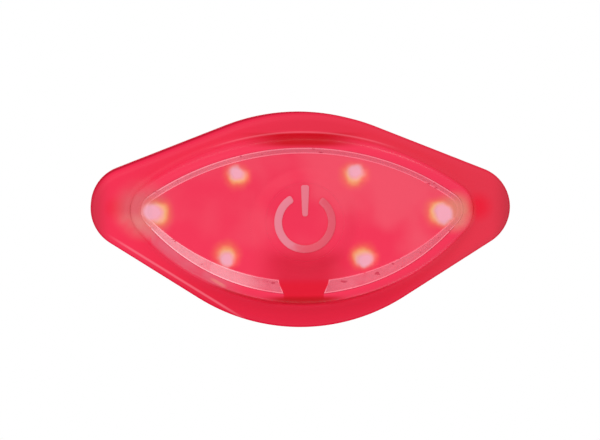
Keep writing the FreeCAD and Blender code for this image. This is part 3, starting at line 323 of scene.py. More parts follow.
class Wiring:
    """A material's node tree, with short methods that add a node and join it up."""

    def __init__(self, name: str) -> None:
        """Start an empty material.

        Args:
            name: The material's name.
        """
        self.material = bpy.data.materials.new(name)
        self.material.use_nodes = True
        self.tree = self.material.node_tree
        self.tree.nodes.clear()
        self.output = self.tree.nodes.new("ShaderNodeOutputMaterial")
        self.coordinates = self.tree.nodes.new("ShaderNodeTexCoord").outputs["Object"]
        self.side, self.depth, self.up = self.add("ShaderNodeSeparateXYZ", {0: self.coordinates}).outputs

    def add(self, kind: str, inputs: Inputs, **settings: object) -> bpy.types.Node:
        """Add a node.

        Args:
            kind: The node's type.
            inputs: What goes into its inputs, each by its name or number.
            settings: Its properties.

        Returns:
            The node.
        """
        node = self.tree.nodes.new(kind)
        for key, value in settings.items():
            setattr(node, key, value)
        for key, value in inputs.items():
            self.feed(node.inputs[key], value)
        return node

    def feed(self, socket: Socket, value: object) -> None:
        """Join an output to a socket, or set the socket's own value.

        Args:
            socket: The input to fill.
            value: An output socket, a number, or a colour or vector of numbers.
        """
        if isinstance(value, Socket):
            self.tree.links.new(value, socket)
        elif isinstance(value, (tuple, list)) and len(socket.default_value) == len(value) + 1:
            socket.default_value = (*value, 1.0)
        else:
            socket.default_value = value

    def maths(self, operation: str, first: object, second: object = 0.0) -> Socket:
        """The result of a sum on one or two numbers."""
        return self.add("ShaderNodeMath", {0: first, 1: second}, operation=operation).outputs[0]

    def product(self, *factors: object) -> Socket:
        """The product of two or more numbers.

        Args:
            factors: Numbers or outputs.

        Returns:
            The product.
        """
        result = factors[0]
        for factor in factors[1:]:
            result = self.maths("MULTIPLY", result, factor)
        return result

    def largest(self, *values: object) -> Socket:
        """The largest of two or more numbers.

        Args:
            values: Numbers or outputs.

        Returns:
            The largest.
        """
        result = values[0]
        for value in values[1:]:
            result = self.maths("MAXIMUM", result, value)
        return result

    def without(self, value: object) -> Socket:
        """What a share leaves of one."""
        return self.maths("SUBTRACT", 1.0, value)

    def span(self, value: object, start: float, end: float, low: float = 0.0, high: float = 1.0) -> Socket:
        """A smooth step from low to high as a value goes from start to end."""
        inputs = dict(enumerate((value, start, end, low, high)))
        return self.add("ShaderNodeMapRange", inputs, interpolation_type="SMOOTHSTEP").outputs[0]

    def reach(self, value: object, start: float, end: float, low: float = 0.0, high: float = 1.0) -> Socket:
        """A smooth step from low to high between two places in millimetres."""
        return self.span(value, start * MM, end * MM, low, high)

    def ridge(self, value: object, line: Line) -> Socket:
        """The share of a thin line that follows a distance."""
        away = self.maths("ABSOLUTE", self.maths("SUBTRACT", value, line.place * MM))
        return self.reach(away, *line.fade)

    def slanted(self, line: Line) -> Socket:
        """The share of a thin straight line that slants in the front view."""
        parts = self.product(self.side, line.slope[0]), self.product(self.up, line.slope[1])
        return self.ridge(self.maths("ADD", *parts), line)

    def wide(self) -> Socket:
        """The distance to either side of the middle."""
        return self.maths("ABSOLUTE", self.side)

    def forward(self) -> Socket:
        """The distance forward of the rear face."""
        return self.product(self.depth, -1.0)

    def blend(self, share: object, first: object, second: object) -> Socket:
        """A colour between two colours."""
        inputs = {"Factor": share, MIX_FIRST: first, MIX_SECOND: second}
        return self.add("ShaderNodeMix", inputs, data_type="RGBA").outputs[MIX_RESULT]

    def layers(self, base: object, *covers: tuple[object, object]) -> Socket:
        """Lay colours over a base colour, each with its share.

        Args:
            base: The base colour.
            covers: Pairs of a share and a colour, lowest first.

        Returns:
            The colour on top.
        """
        result = base
        for share, colour in covers:
            result = self.blend(share, result, colour)
        return result

    def noise(self, scale: float, detail: float = 3.0, stretch: Place = (1.0, 1.0, 1.0)) -> Socket:
        """A cloudy pattern in object coordinates.

        Args:
            scale: Patches per metre.
            detail: Finer layers of the pattern.
            stretch: How much the pattern is squeezed along each axis.

        Returns:
            The pattern's strength, mostly 0.3 to 0.7.
        """
        mapping = self.add("ShaderNodeMapping", {"Vector": self.coordinates, "Scale": stretch})
        inputs = {"Vector": mapping.outputs[0], "Scale": scale, "Detail": detail}
        return self.add("ShaderNodeTexNoise", inputs).outputs[0]

    def wobble(self, scale: float, width: float, detail: float = 3.0) -> Socket:
        """A cloudy shift to either side, its whole width given in millimetres."""
        return self.product(self.maths("SUBTRACT", self.noise(scale, detail), NOISE_CENTRE), width * MM)

    def bump(self, height: Socket, strength: float, depth: float) -> Socket:
        """Surface normals roughened by a height pattern."""
        inputs = {"Height": height, "Strength": strength, "Distance": depth}
        return self.add("ShaderNodeBump", inputs).outputs[0]

    def plastic(self, **values: object) -> Socket:
        """A Principled shader whose named inputs are filled, with underscores for blanks."""
        inputs = {key.replace("_", " "): value for key, value in values.items()}
        return self.add("ShaderNodeBsdfPrincipled", inputs).outputs[0]

    def across(self, centre: Point) -> Socket:
        """The distance from a place in the front view.

        Args:
            centre: The place, in millimetres.

        Returns:
            The distance, in metres.
        """
        flat = self.add("ShaderNodeVectorMath", {0: self.coordinates, 1: FRONT_VIEW}, operation="MULTIPLY")
        inputs = {0: flat.outputs[0], 1: (centre[0] * MM, 0.0, centre[1] * MM)}
        return self.add("ShaderNodeVectorMath", inputs, operation="DISTANCE").outputs["Value"]

    def spot(self, spot: Spot) -> Socket:
        """The share of a round patch."""
        return self.product(self.reach(self.across(spot.place), *spot.fade), spot.share)

    def zone(self, zone: Zone) -> Socket:
        """The share of a patch that fades along straight lines.

        Args:
            zone: The patch.

        Returns:
            The share.
        """
        fades = [(self.up, fade) for fade in zone.up] + [(self.side, fade) for fade in zone.side]
        fades += [(self.wide(), fade) for fade in zone.wide]
        return self.product(*(self.reach(value, *fade) for value, fade in fades), zone.share)

    def inside(self, outline: AlmondOutline, shift: Point) -> Socket:
        """How far a place lies inside an almond outline in the front view.

        Args:
            outline: The outline.
            shift: How far it is moved in the front view, in millimetres.

        Returns:
            The distance in metres, negative outside.
        """
        top_radius, over = outline.top_arc()
        bottom_radius, under = outline.bottom_arc()
        from_top = self.maths("SUBTRACT", top_radius * MM, self.across((shift[0], over + shift[1])))
        from_bottom = self.maths("SUBTRACT", bottom_radius * MM, self.across((shift[0], under + shift[1])))
        level = outline.level + shift[1]
        tips = []
        for way in (-1.0, 1.0):
            away = self.across((way * outline.tip_across + shift[0], level))
            tips.append(self.maths("SUBTRACT", outline.tip_radius * MM, away))
        tip_start = outline.tip_across + outline.tip_radius * outline.tip_share
        near_tip = self.maths("GREATER_THAN", self.wide(), tip_start * MM)
        from_tip = self.maths("ADD", self.largest(*tips), self.without(near_tip))
        return self.maths("MINIMUM", self.maths("MINIMUM", from_top, from_bottom), from_tip)

    def finish(self, surface: Socket, clear: object = None, share: object = 1.0) -> Material:
        """Join the surface to the output, mixed with see-through where a tint is given.

        Args:
            surface: The solid surface.
            clear: The tint of what shows through, or None for a solid surface.
            share: How much of the solid surface shows.

        Returns:
            The finished material.
        """
        if clear is not None:
            see = self.add("ShaderNodeBsdfTransparent", {"Color": clear}).outputs[0]
            surface = self.add("ShaderNodeMixShader", {0: share, 1: see, 2: surface}).outputs[0]
        self.feed(self.output.inputs["Surface"], surface)
        return self.material


@dataclass(frozen=True)
class Lamp:
    """A lamp behind the cover, in millimetres: its node and place, and its glow on the cover's face.

    The glow has a core of a given radius, and its outer zones lean to one side.
    """

    node: str
    place: Point
    upright: bool
    glow: Point
    core: float
    lean: Point


LAMPS: tuple[Lamp, ...] = (
    Lamp("led_left_tip", (-23.9, -0.9), True, (-24.9, -0.4), 1.6, (0.95, 0.0)),
    Lamp("led_left_top", (-9.9, 5.3), False, (-11.1, 6.15), 1.2, (0.1, -0.8)),
    Lamp("led_left_low", (-11.6, -8.7), False, (-12.9, -8.0), 1.25, (0.15, 0.8)),
    Lamp("led_right_tip", (23.9, -0.9), True, (23.1, -0.85), 1.6, (-0.9, 0.2)),
    Lamp("led_right_top", (9.9, 5.3), False, (8.4, 6.3), 1.3, (-0.35, -0.7)),
    Lamp("led_right_low", (11.6, -8.7), False, (10.0, -8.3), 1.3, (-0.4, 0.75)),
)


@dataclass(frozen=True)
class CoverFinish:
    """The soft see-through red moulding's outer face, lit from within.

    Its zones are placed in the front view, in millimetres.
    """

    name: str = "cover_red"
    flange: Colour = shade(236, 44, 78)
    # Painted shade: the flange darker towards the right.
    flange_right_shade: Colour = shade(222, 50, 70)
    # Painted shade: a darker red, laid on the flange towards the bottom and in the window below the symbol.
    low_shade_red: Colour = shade(224, 26, 58)
    # Painted shade: a deep red for the shadows just beyond the light guide's tips and in the guide's gap,
    # where the ring's light doesn't reach.
    shadow_red: Colour = shade(232, 16, 46)
    window: Colour = shade(244, 52, 86)
    window_rosy: Colour = shade(246, 84, 106)
    # Painted shade: a deeper red on the dome's top and bottom walls, where less light comes through, and in a
    # dark line along the crease at the dome's foot.
    deep: Colour = shade(206, 4, 24)
    # Painted shade: the wall behind the flange's edge darker, where the surface turns away.
    side_wall_shade: Colour = shade(204, 28, 56)
    # Painted highlights: a thin line along the dome's top edge and one along the flange's lower-left edge.
    edge_shine: Colour = shade(248, 128, 146)
    # Painted shade: the flange darker at its far tips, where the surface curves away.
    tip_edge_shade: Colour = shade(196, 44, 62)
    pale_haze: Colour = shade(236, 138, 132)
    low_haze: Colour = shade(232, 104, 124)
    streak: Colour = shade(244, 134, 128)
    core: Colour = shade(240, 166, 186)
    yellow: Colour = shade(250, 190, 118)
    orange: Colour = shade(246, 116, 80)
    under_light: Colour = (0.02, 0.01, 0.01)
    dark: Colour = (0.0, 0.0, 0.0)
    inner_light: Colour = (1.0, 0.035, 0.10)
    tint: Colour = (0.97, 0.40, 0.50)
    clear_tint: Colour = (0.95, 0.90, 0.92)

    gloss: float = 0.12
    roughness: float = 0.38
    roughness_change: float = 0.05
    clouds: float = 85.0
    patches: float = 210.0
    ripples: float = 420.0
    ripple_width: float = 1.4
    grain: float = 2600.0
    grain_strength: float = 0.15
    grain_depth: float = 0.00005

    solid: float = 0.985
    solid_in_ring: float = 0.94
    solid_in_haze: float = 0.9
    solid_in_glow: float = 0.96
    band_clearness: float = 0.64

    dome_face: Fade = (10.9, 11.7)
    flange_face: Fade = (8.4, 9.9)
    below_flange: Fade = (9.9, 8.9)
    right_shade_part: Zone = Zone(side=((-30.0, 30.0),))
    low_shade_part: Zone = Zone(up=((-6.0, -16.0),))
    tip_edge_shade_zone: Zone = Zone(wide=((31.5, 35.2),), share=0.65)

    ring_shift: Point = (-0.12, 0.09)
    ring_edge: Fade = (-0.15, 0.15)
    window_edge: Fade = (-0.15, 0.2)
    gap_heights: Fade = (-14.1, -11.9)
    gap_halves: Point = (3.3, 4.1)
    gap_side: Fade = (0.1, -0.15)
    gap_part: Zone = Zone(up=((-8.0, -9.0),))
    # Painted shade in the guide's gap, where the ring's light doesn't reach.
    gap_shade: Zone = Zone(up=((-11.0, -12.6), (-15.6, -14.6)))
    gap_shade_share: float = 0.95
    # Painted shadows just beyond the light guide's tips.
    guide_tip_shadows: tuple[Spot, ...] = (Spot((-30.7, 0.1), (2.6, 0.4), 0.7), Spot((29.4, 0.1), (3.2, 0.5), 0.9))
    # Painted shadow in the window below the symbol, where the button's plunger blocks the light; the glow is
    # dimmed there too.
    under_symbol_shadow: Zone = Zone(up=((-5.0, -8.6),), wide=((10.0, 2.5),), share=0.9)
    rosy_clouds: Fade = (0.36, 0.62)
    rosy_sides: Fade = (-24.0, 16.0)
    rosy_least: float = 0.35

    # Painted shade on the dome's top and bottom walls and along the crease at its foot.
    top_wall_shade: Zone = Zone(up=((9.9, 10.9), (12.7, 12.2)), wide=((12.0, 2.5),))
    low_wall_shade: Zone = Zone(up=((-13.9, -14.8), (-16.3, -15.4)), wide=((9.0, 3.0),))
    foot_shadow_line: Line = Line(0.45, (0.5, 0.1))
    foot_shadow_part: Zone = Zone(up=((-8.0, -12.0),), wide=((18.0, 12.0),), share=0.85)
    # A painted highlight along the dome's top edge.
    top_highlight: Line = Line(-0.3, (0.2, 0.05))
    top_highlight_part: Zone = Zone(up=((9.5, 11.5),), share=0.35)

    hazes: tuple[Haze, ...] = (
        Haze(Spot((-26.4, 0.0), (6.0, 1.6)), shade(224, 104, 112), 0.85, (0.0, -2.5), 0.7),
        Haze(Spot((25.2, -0.6), (4.2, 1.2)), shade(232, 140, 122), 0.9, (-0.5, -2.5), 0.6),
    )
    haze_ends: Zone = Zone(wide=((18.0, 22.0),))
    haze_patches: Fade = (0.28, 0.55)
    haze_least: float = 0.45
    milk_reach: Fade = (-2.3, -0.6)
    milk_part: Zone = Zone(up=((0.5, -3.0),), side=((-9.0, -15.5),), share=0.85)
    milk_patches: Fade = (0.3, 0.62)
    milk_least: float = 0.35
    streak_spot: Spot = Spot((-14.2, -12.0), (1.9, 0.5))
    streak_line: Line = Line(-17.5, (0.4, 0.1), (0.5, 0.87))
    streak_share: float = 0.8
    # A painted highlight along the flange's lower-left edge.
    shine_line: Line = Line(20.75, (0.3, 0.05), (-0.531, -0.847))
    shine_part: Zone = Zone(side=((-33.0, -28.0), (-7.0, -15.0)), share=0.6)

    core_halo: Halo = Halo(0.0, 0.65, -0.6)
    yellow_halo: Halo = Halo(0.65, 0.85, -0.35, share=0.9)
    orange_halo: Halo = Halo(0.85, 1.7, 0.0, core_share=0.4, share=0.9)

    light_heights: Fade = (-10.0, 4.0)
    light_levels: Point = (0.12, 0.09)
    dome_loss: float = 0.03
    left_tip: Fade = (-24.0, -31.0)
    left_gain: float = 0.03
    far_tips: Fade = (31.0, 35.0)
    far_light: float = 0.2
    dome_shade_light: float = 0.35
    under_symbol_shadow_light: float = 0.5
    haze_light: float = 0.3

    def glow(self, wiring: Wiring, lamps: Iterable[Lamp], halo: Halo) -> Socket:
        """Work out one zone of the lamps' light as it shows in the moulding.

        Args:
            wiring: The material that is being made.
            lamps: The lamps behind the cover.
            halo: The zone.

        Returns:
            The zone's share.
        """
        ripple = wiring.wobble(self.ripples, self.ripple_width, detail=2.0)
        share = 0.0
        for lamp in lamps:
            centre = (lamp.glow[0] + lamp.lean[0] * halo.lean, lamp.glow[1] + lamp.lean[1] * halo.lean)
            away = wiring.maths("ADD", wiring.across(centre), ripple)
            edge = wiring.reach(away, lamp.core + halo.outer, lamp.core * halo.core_share + halo.inner)
            share = wiring.largest(share, edge)
        return wiring.product(share, halo.share)

    def gap(self, wiring: Wiring) -> Socket:
        """The share of the light guide's gap, which is narrower below.

        Args:
            wiring: The material that is being made.

        Returns:
            The share.
        """
        centred = wiring.maths("ABSOLUTE", wiring.maths("SUBTRACT", wiring.side, self.ring_shift[0] * MM))
        half = wiring.reach(wiring.up, *self.gap_heights, *(value * MM for value in self.gap_halves))
        beyond = wiring.maths("SUBTRACT", centred, half)
        return wiring.product(wiring.reach(beyond, *self.gap_side), wiring.zone(self.gap_part))

    def dome_shade_zones(self, wiring: Wiring, foot: Socket) -> Socket:
        """The share of painted shade round the dome's foot, given the distance inside its outline."""
        foot_shadow_line = wiring.product(wiring.ridge(foot, self.foot_shadow_line), wiring.zone(self.foot_shadow_part))
        return wiring.largest(wiring.zone(self.top_wall_shade), wiring.zone(self.low_wall_shade), foot_shadow_line)

    def brightness(self, wiring: Wiring, on_dome: Socket, *dimmed: tuple[Socket, float, float]) -> Socket:
        """Work out how strongly the moulding glows by itself.

        Args:
            wiring: The material that is being made.
            on_dome: The share of the dome's face.
            dimmed: Zones with less light: the share, its full value and the light that is left there.

        Returns:
            The strength.
        """
        level = wiring.reach(wiring.up, *self.light_heights, *self.light_levels)
        gain = wiring.reach(wiring.side, *self.left_tip, 0.0, self.left_gain)
        strength = wiring.maths("SUBTRACT", level, wiring.product(on_dome, self.dome_loss))
        strength = wiring.maths("ADD", strength, gain)
        for share, full, light in dimmed:
            strength = wiring.product(strength, wiring.span(share, 0.0, full, 1.0, light))
        return wiring.product(strength, wiring.reach(wiring.wide(), *self.far_tips, 1.0, self.far_light),
                              wiring.reach(wiring.forward(), *self.flange_face))

    def build(self, lamps: Iterable[Lamp]) -> Material:
        """Make the material.

        Args:
            lamps: The lamps behind the cover.

        Returns:
            The finished material.
        """
        wiring = Wiring(self.name)
        forward = wiring.forward()
        on_dome = wiring.reach(forward, *self.dome_face)
        outside = wiring.inside(RING_OUTSIDE, self.ring_shift)
        within = wiring.inside(RING_INSIDE, self.ring_shift)
        in_ring = wiring.product(wiring.reach(outside, *self.ring_edge), on_dome)
        in_window = wiring.product(wiring.reach(within, *self.window_edge), on_dome)
        gap = self.gap(wiring)
        band = wiring.product(in_ring, wiring.without(in_window), wiring.without(gap))
        gap_shade = wiring.product(gap, wiring.zone(self.gap_shade), on_dome)
        cloudy = wiring.noise(self.clouds, detail=2.5)
        soft = wiring.noise(self.patches)

        tips = [wiring.spot(spot) for spot in self.guide_tip_shadows]
        shadow_red = wiring.largest(wiring.product(gap_shade, self.gap_shade_share), *tips)
        foot = wiring.inside(DOME_FOOT, (0.0, 0.0))
        # Painted shade round the dome's foot.
        deep = self.dome_shade_zones(wiring, foot)
        top_highlight = wiring.product(wiring.ridge(foot, self.top_highlight), wiring.zone(self.top_highlight_part))
        open_window = wiring.largest(in_window, wiring.product(gap, on_dome))
        under_symbol_shadow = wiring.product(wiring.zone(self.under_symbol_shadow), open_window)
        rosy = wiring.product(
            in_window, wiring.without(gap_shade), wiring.span(cloudy, *self.rosy_clouds),
            wiring.reach(wiring.side, *self.rosy_sides, self.rosy_least, 1.0))
        beside_ring = wiring.without(in_ring)
        near_ring = wiring.reach(outside, *self.milk_reach)
        milk = wiring.product(near_ring, beside_ring, wiring.zone(self.milk_part))
        patchy_milk = wiring.product(milk, wiring.span(soft, *self.milk_patches, self.milk_least, 1.0))
        streak = wiring.product(wiring.spot(self.streak_spot), beside_ring, wiring.slanted(self.streak_line))
        shine = wiring.product(wiring.slanted(self.shine_line), wiring.zone(self.shine_part))

        colour = wiring.layers(
            # The flange's own red, with painted shade darker towards the right.
            wiring.blend(wiring.zone(self.right_shade_part), self.flange, self.flange_right_shade),
            # Painted shade: the flange darker towards the bottom.
            (wiring.zone(self.low_shade_part), self.low_shade_red),
            # Painted shade at the far tips.
            (wiring.zone(self.tip_edge_shade_zone), self.tip_edge_shade),
            # Painted shade on the wall behind the flange's edge.
            (wiring.reach(forward, *self.below_flange), self.side_wall_shade),
            (on_dome, self.window),
            (rosy, self.window_rosy),
            # Painted shadow in the window below the symbol.
            (under_symbol_shadow, self.low_shade_red),
            # Painted shade: the shadows beyond the guide's tips and in its gap.
            (shadow_red, self.shadow_red),
            # Painted shade on the dome's walls and in the crease at its foot.
            (deep, self.deep),
            # A painted highlight along the dome's top edge.
            (top_highlight, self.edge_shine),
            (patchy_milk, self.low_haze),
        )
        ends = wiring.zone(self.haze_ends)
        patchy = wiring.span(soft, *self.haze_patches, self.haze_least, 1.0)
        hazy = wiring.largest(milk, streak)
        for haze in self.hazes:
            milky = wiring.product(wiring.spot(haze.spot), patchy)
            at_end = wiring.product(milky, ends)
            paler = wiring.product(milky, wiring.reach(wiring.up, *haze.pale_heights), haze.pale_share)
            colour = wiring.layers(
                colour, (wiring.product(at_end, haze.share), haze.colour), (paler, self.pale_haze))
            hazy = wiring.largest(hazy, at_end)
        # Last come the streak and a painted highlight along the flange's lower-left edge.
        colour = wiring.layers(
            colour, (wiring.product(streak, self.streak_share), self.streak), (shine, self.edge_shine))

        halos = (self.core_halo, self.yellow_halo, self.orange_halo)
        core, yellow, orange = (self.glow(wiring, lamps, halo) for halo in halos)
        lit = wiring.product(wiring.largest(core, yellow, orange), on_dome)
        lamp_light = wiring.layers(self.orange, (yellow, self.yellow), (core, self.core))
        strength = self.brightness(
            wiring, on_dome, (deep, 1.0, self.dome_shade_light),
            (under_symbol_shadow, self.under_symbol_shadow.share, self.under_symbol_shadow_light), (hazy, 1.0, self.haze_light))
        least, most = self.roughness - self.roughness_change, self.roughness + self.roughness_change
        surface = wiring.plastic(
            Base_Color=wiring.blend(lit, colour, self.under_light),
            Roughness=wiring.span(cloudy, *NOISE_RANGE, least, most),
            Specular_IOR_Level=self.gloss,
            Emission_Color=wiring.blend(lit, wiring.blend(strength, self.dark, self.inner_light), lamp_light),
            Emission_Strength=1.0,
            Normal=wiring.bump(wiring.noise(self.grain, detail=4.0), self.grain_strength, self.grain_depth),
        )
        solid = wiring.span(in_ring, 0.0, 1.0, self.solid, self.solid_in_ring)
        solid = wiring.maths("SUBTRACT", solid, wiring.product(band, self.band_clearness))
        solid = wiring.largest(
            solid, wiring.product(deep, self.solid), wiring.product(hazy, self.solid_in_haze),
            wiring.product(lit, self.solid_in_glow))
        return wiring.finish(surface, wiring.blend(band, self.tint, self.clear_tint), solid)


@dataclass(frozen=True)
class InsideFinish:
    """The moulding's inner face, which lets nearly everything through."""

    tint: Colour = (0.99, 0.90, 0.92)
    solid: Colour = shade(230, 60, 84)
    shares: Fade = (0.03, 0.09)
    clouds: float = 300.0
    roughness: float = 0.5

    def build(self) -> Material:
        """Make the material.

        Returns:
            The finished material.
        """
        wiring = Wiring("cover_inside")
        share = wiring.span(wiring.noise(self.clouds), *NOISE_RANGE, *self.shares)
        surface = wiring.plastic(Base_Color=self.solid, Roughness=self.roughness)
        return wiring.finish(surface, self.tint, share)


@dataclass(frozen=True)
class SymbolFinish:
    """The raised power symbol: the same moulding, with painted light on the left and painted shade to the
    right.
    """

    # Painted light and shade: pale on the left, a middle tone from the middle rightwards that is stronger
    # lower down, and darker on the right.
    pale: Colour = shade(237, 130, 149)
    middle: Colour = shade(234, 84, 104)
    shaded: Colour = shade(230, 84, 104)
    middle_sides: Fade = (-3.4, 0.0)
    middle_heights: Fade = (-1.5, -5.5)
    middle_least: float = 0.3
    shaded_sides: Fade = (1.2, 4.0)
    clouds: float = 600.0
    cloud_width: float = 5.0
    roughness: float = 0.4
    gloss: float = 0.35
    grain: float = 2600.0
    grain_strength: float = 0.18
    grain_depth: float = 0.00006

    def build(self) -> Material:
        """Make the material.

        Returns:
            The finished material.
        """
        wiring = Wiring("symbol_pink")
        lean = wiring.maths("ADD", wiring.side, wiring.wobble(self.clouds, self.cloud_width))
        lower = wiring.reach(wiring.up, *self.middle_heights, self.middle_least, 1.0)
        # Painted light and shade across the strokes.
        colour = wiring.layers(
            self.pale, (wiring.product(wiring.reach(lean, *self.middle_sides), lower), self.middle),
            (wiring.reach(lean, *self.shaded_sides), self.shaded))
        surface = wiring.plastic(
            Base_Color=colour,
            Roughness=self.roughness,
            Specular_IOR_Level=self.gloss,
            Normal=wiring.bump(wiring.noise(self.grain, detail=4.0), self.grain_strength, self.grain_depth),
        )
        return wiring.finish(surface)


@dataclass(frozen=True)
class GuideFinish:
    """One of the clear light guide's surfaces, which carry the lamps' light."""

    name: str
    pale: Colour
    faint: Colour
    solid: float
    light: float
    roughness: float
    chip: Colour = shade(176, 60, 84)
    chip_share: float = 0.8
    chip_stretch: Place = (1.0, 0.3, 2.2)
    chips: float = 700.0
    chip_levels: Fade = (0.66, 0.70)
    patches: float = 230.0
    patch_levels: Fade = (0.32, 0.5)
    patch_least: float = 0.3
    # Painted light: the pale colour, which the guide also glows with, is stronger towards the bottom and the
    # left.
    pale_heights: Fade = (6.0, -4.0)
    pale_height_least: float = 0.3
    pale_sides: Fade = (-4.0, -13.0)
    pale_side_least: float = 0.2
    bump_strength: float = 0.25
    bump_depth: float = 0.0002
    tint: Colour = (0.98, 0.93, 0.94)

    def build(self) -> Material:
        """Make the material.

        Returns:
            The finished material.
        """
        wiring = Wiring(self.name)
        patches = wiring.noise(self.patches)
        chips = wiring.noise(self.chips, detail=2.0, stretch=self.chip_stretch)
        chipped = wiring.product(wiring.span(chips, *self.chip_levels), self.chip_share)
        # Painted light: brighter towards the bottom and the left.
        low = wiring.reach(wiring.up, *self.pale_heights, self.pale_height_least, 1.0)
        left = wiring.reach(wiring.side, *self.pale_sides, self.pale_side_least, 1.0)
        share = wiring.product(wiring.span(patches, *self.patch_levels, self.patch_least, 1.0), low, left)
        colour = wiring.layers(self.faint, (share, self.pale), (chipped, self.chip))
        surface = wiring.plastic(
            Base_Color=colour,
            Roughness=self.roughness,
            Emission_Color=colour,
            Emission_Strength=self.light,
            Normal=wiring.bump(patches, self.bump_strength, self.bump_depth),
        )
        return wiring.finish(surface, self.tint, self.solid)


@dataclass(frozen=True)
class WorkedFinish:
    """An even material with its own mottle, gloss changes and fine texture."""

    name: str
    base: Colour
    mottle: Colour
    roughness: float = 0.5
    gloss_change: float = 0.08
    metallic: float = 0.0
    gloss: float = 0.5
    grain: float = 1500.0
    coarseness: float = 8.0
    strength: float = 0.25
    depth: float = 0.00005
    stretch: Place = (1.0, 1.0, 1.0)

    def build(self) -> Material:
        """Make the material.

        Returns:
            The finished material.
        """
        wiring = Wiring(self.name)
        broad = wiring.noise(self.grain / self.coarseness, stretch=self.stretch)
        fine = wiring.noise(self.grain, detail=4.0, stretch=self.stretch)
        least, most = self.roughness - self.gloss_change, self.roughness + self.gloss_change
        surface = wiring.plastic(
            Base_Color=wiring.blend(wiring.span(broad, *NOISE_MIDDLE), self.base, self.mottle),
            Roughness=wiring.span(broad, *NOISE_RANGE, least, most),
            Metallic=self.metallic,
            Specular_IOR_Level=self.gloss,
            Normal=wiring.bump(fine, self.strength, self.depth),
        )
        return wiring.finish(surface)


@dataclass(frozen=True)
class WindowFinish:
    """The lit resin in a lamp's window."""

    bright: Colour = shade(255, 214, 200)
    warm: Colour = shade(255, 170, 110)
    clouds: float = 700.0
    roughness: float = 0.2
    strength: float = 1.0

    def build(self) -> Material:
        """Make the material.

        Returns:
            The finished material.
        """
        wiring = Wiring("lamp_window")
        colour = wiring.blend(wiring.span(wiring.noise(self.clouds), *NOISE_MIDDLE), self.bright, self.warm)
        surface = wiring.plastic(
            Base_Color=colour,
            Roughness=self.roughness,
            Emission_Color=colour,
            Emission_Strength=self.strength,
        )
        return wiring.finish(surface)


def meshed(name: str, shape: Shape) -> bpy.types.Mesh:
    """Turn a bmesh into a mesh.

    Args:
        name: The mesh's name.
        shape: The bmesh. It is freed.

    Returns:
        The mesh.
    """
    mesh = bpy.data.meshes.new(name)
    shape.to_mesh(mesh)
    shape.free()
    return mesh


def placed(name: str, data: bpy.types.ID) -> Piece:
    """Put an object with its data into the scene.

    Args:
        name: The object's name.
        data: Its mesh, camera or light.

    Returns:
        The object.
    """
    thing = bpy.data.objects.new(name, data)
    bpy.context.scene.collection.objects.link(thing)
    return thing


def new_piece(name: str, shape: Shape, finishes: Sequence[Material], body: Body) -> Piece:
    """Turn a finished bmesh into a smooth piece at the origin that rides on a body.

    Args:
        name: The piece's name.
        shape: Its shape, in millimetres. It is freed.
        finishes: Its materials, in the order of the faces' numbers.
        body: The body that it rides on.

    Returns:
        The new object.
    """
    bmesh.ops.scale(shape, vec=(MM, MM, MM), verts=shape.verts)
    bmesh.ops.recalc_face_normals(shape, faces=shape.faces)
    mesh = meshed(name, shape)
    mesh.shade_smooth()
    mesh.set_sharp_from_angle(angle=SHARP_EDGE)
    for finish in finishes:
        mesh.materials.append(finish)
    piece = placed(name, mesh)
    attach(piece, body.value)
    LOG.info("built %s with %d faces", name, len(mesh.polygons))
    return piece


def dress(finish: Material, nodes: Iterable[str]) -> None:
    """Give nodes of the frame their material.

    Args:
        finish: The material.
        nodes: The nodes' names.
    """
    for node in nodes:
        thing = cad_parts[node]
        if not thing.material_slots:
            thing.data.materials.append(finish)
        for slot in thing.material_slots:
            slot.material = finish
        LOG.info("dressed %s in %s", node, finish.name)


def grown(rings: Sequence[Sequence[Place]], marks: Sequence[Enum]) -> Shape:
    """Grow a closed skin ring by ring from a circle and weld its last ring to its first.

    Args:
        rings: Rings of as many points each. The last ring repeats the first.
        marks: For each step from one ring to the next, the kind of surface between them.

    Returns:
        The closed shape.
    """
    shape = bmesh.new()
    order = shape.verts.layers.int.new("order")
    start = bmesh.ops.create_circle(shape, cap_ends=False, radius=1.0, segments=len(rings[0]))["verts"]
    for number, vertex in enumerate(start):
        vertex[order] = number
        vertex.co = rings[0][number]
    edges = list(shape.edges)
    for ring, mark in zip(rings[1:], marks):
        new = bmesh.ops.extrude_edge_only(shape, edges=edges)["geom"]
        fresh = {item for item in new if isinstance(item, bmesh.types.BMVert)}
        for vertex in fresh:
            vertex.co = ring[vertex[order]]
        for face in (item for item in new if isinstance(item, bmesh.types.BMFace)):
            face.material_index = mark.value
        edges = [item for item in new if isinstance(item, bmesh.types.BMEdge) and set(item.verts) <= fresh]
    bmesh.ops.remove_doubles(shape, verts=shape.verts, dist=WELD)
    return shape


def spun(profile: Sequence[Point], level: float, steps: int = 128) -> Shape:
    """Spin a closed profile about the forward axis.

    Args:
        profile: Points of radius and depth. It may start and end on the axis.
        level: The height of the axis.
        steps: How many steps the turn takes.

    Returns:
        The closed shape, whose faces that look forward have the outside's number.
    """
    shape = bmesh.new()
    points = [shape.verts.new((radius, -depth, level)) for radius, depth in profile]
    for first, second in zip(points, points[1:]):
        shape.edges.new((first, second))
    if profile[0][0] > 0.0:
        shape.edges.new((points[-1], points[0]))
    bmesh.ops.spin(shape, geom=shape.verts[:] + shape.edges[:], cent=(0.0, 0.0, level), axis=(0.0, 1.0, 0.0),
                   angle=2 * math.pi, steps=steps, use_merge=True)
    bmesh.ops.remove_doubles(shape, verts=shape.verts, dist=WELD)
    bmesh.ops.recalc_face_normals(shape, faces=shape.faces)
    for face in shape.faces:
        face.material_index = (Skin.OUTSIDE if face.normal.y < FORWARD else Skin.INSIDE).value
    return shape


def eased(share: float) -> float:
    """A share from 0 to 1 that starts and ends gently."""
    return share * share * (3.0 - 2.0 * share)


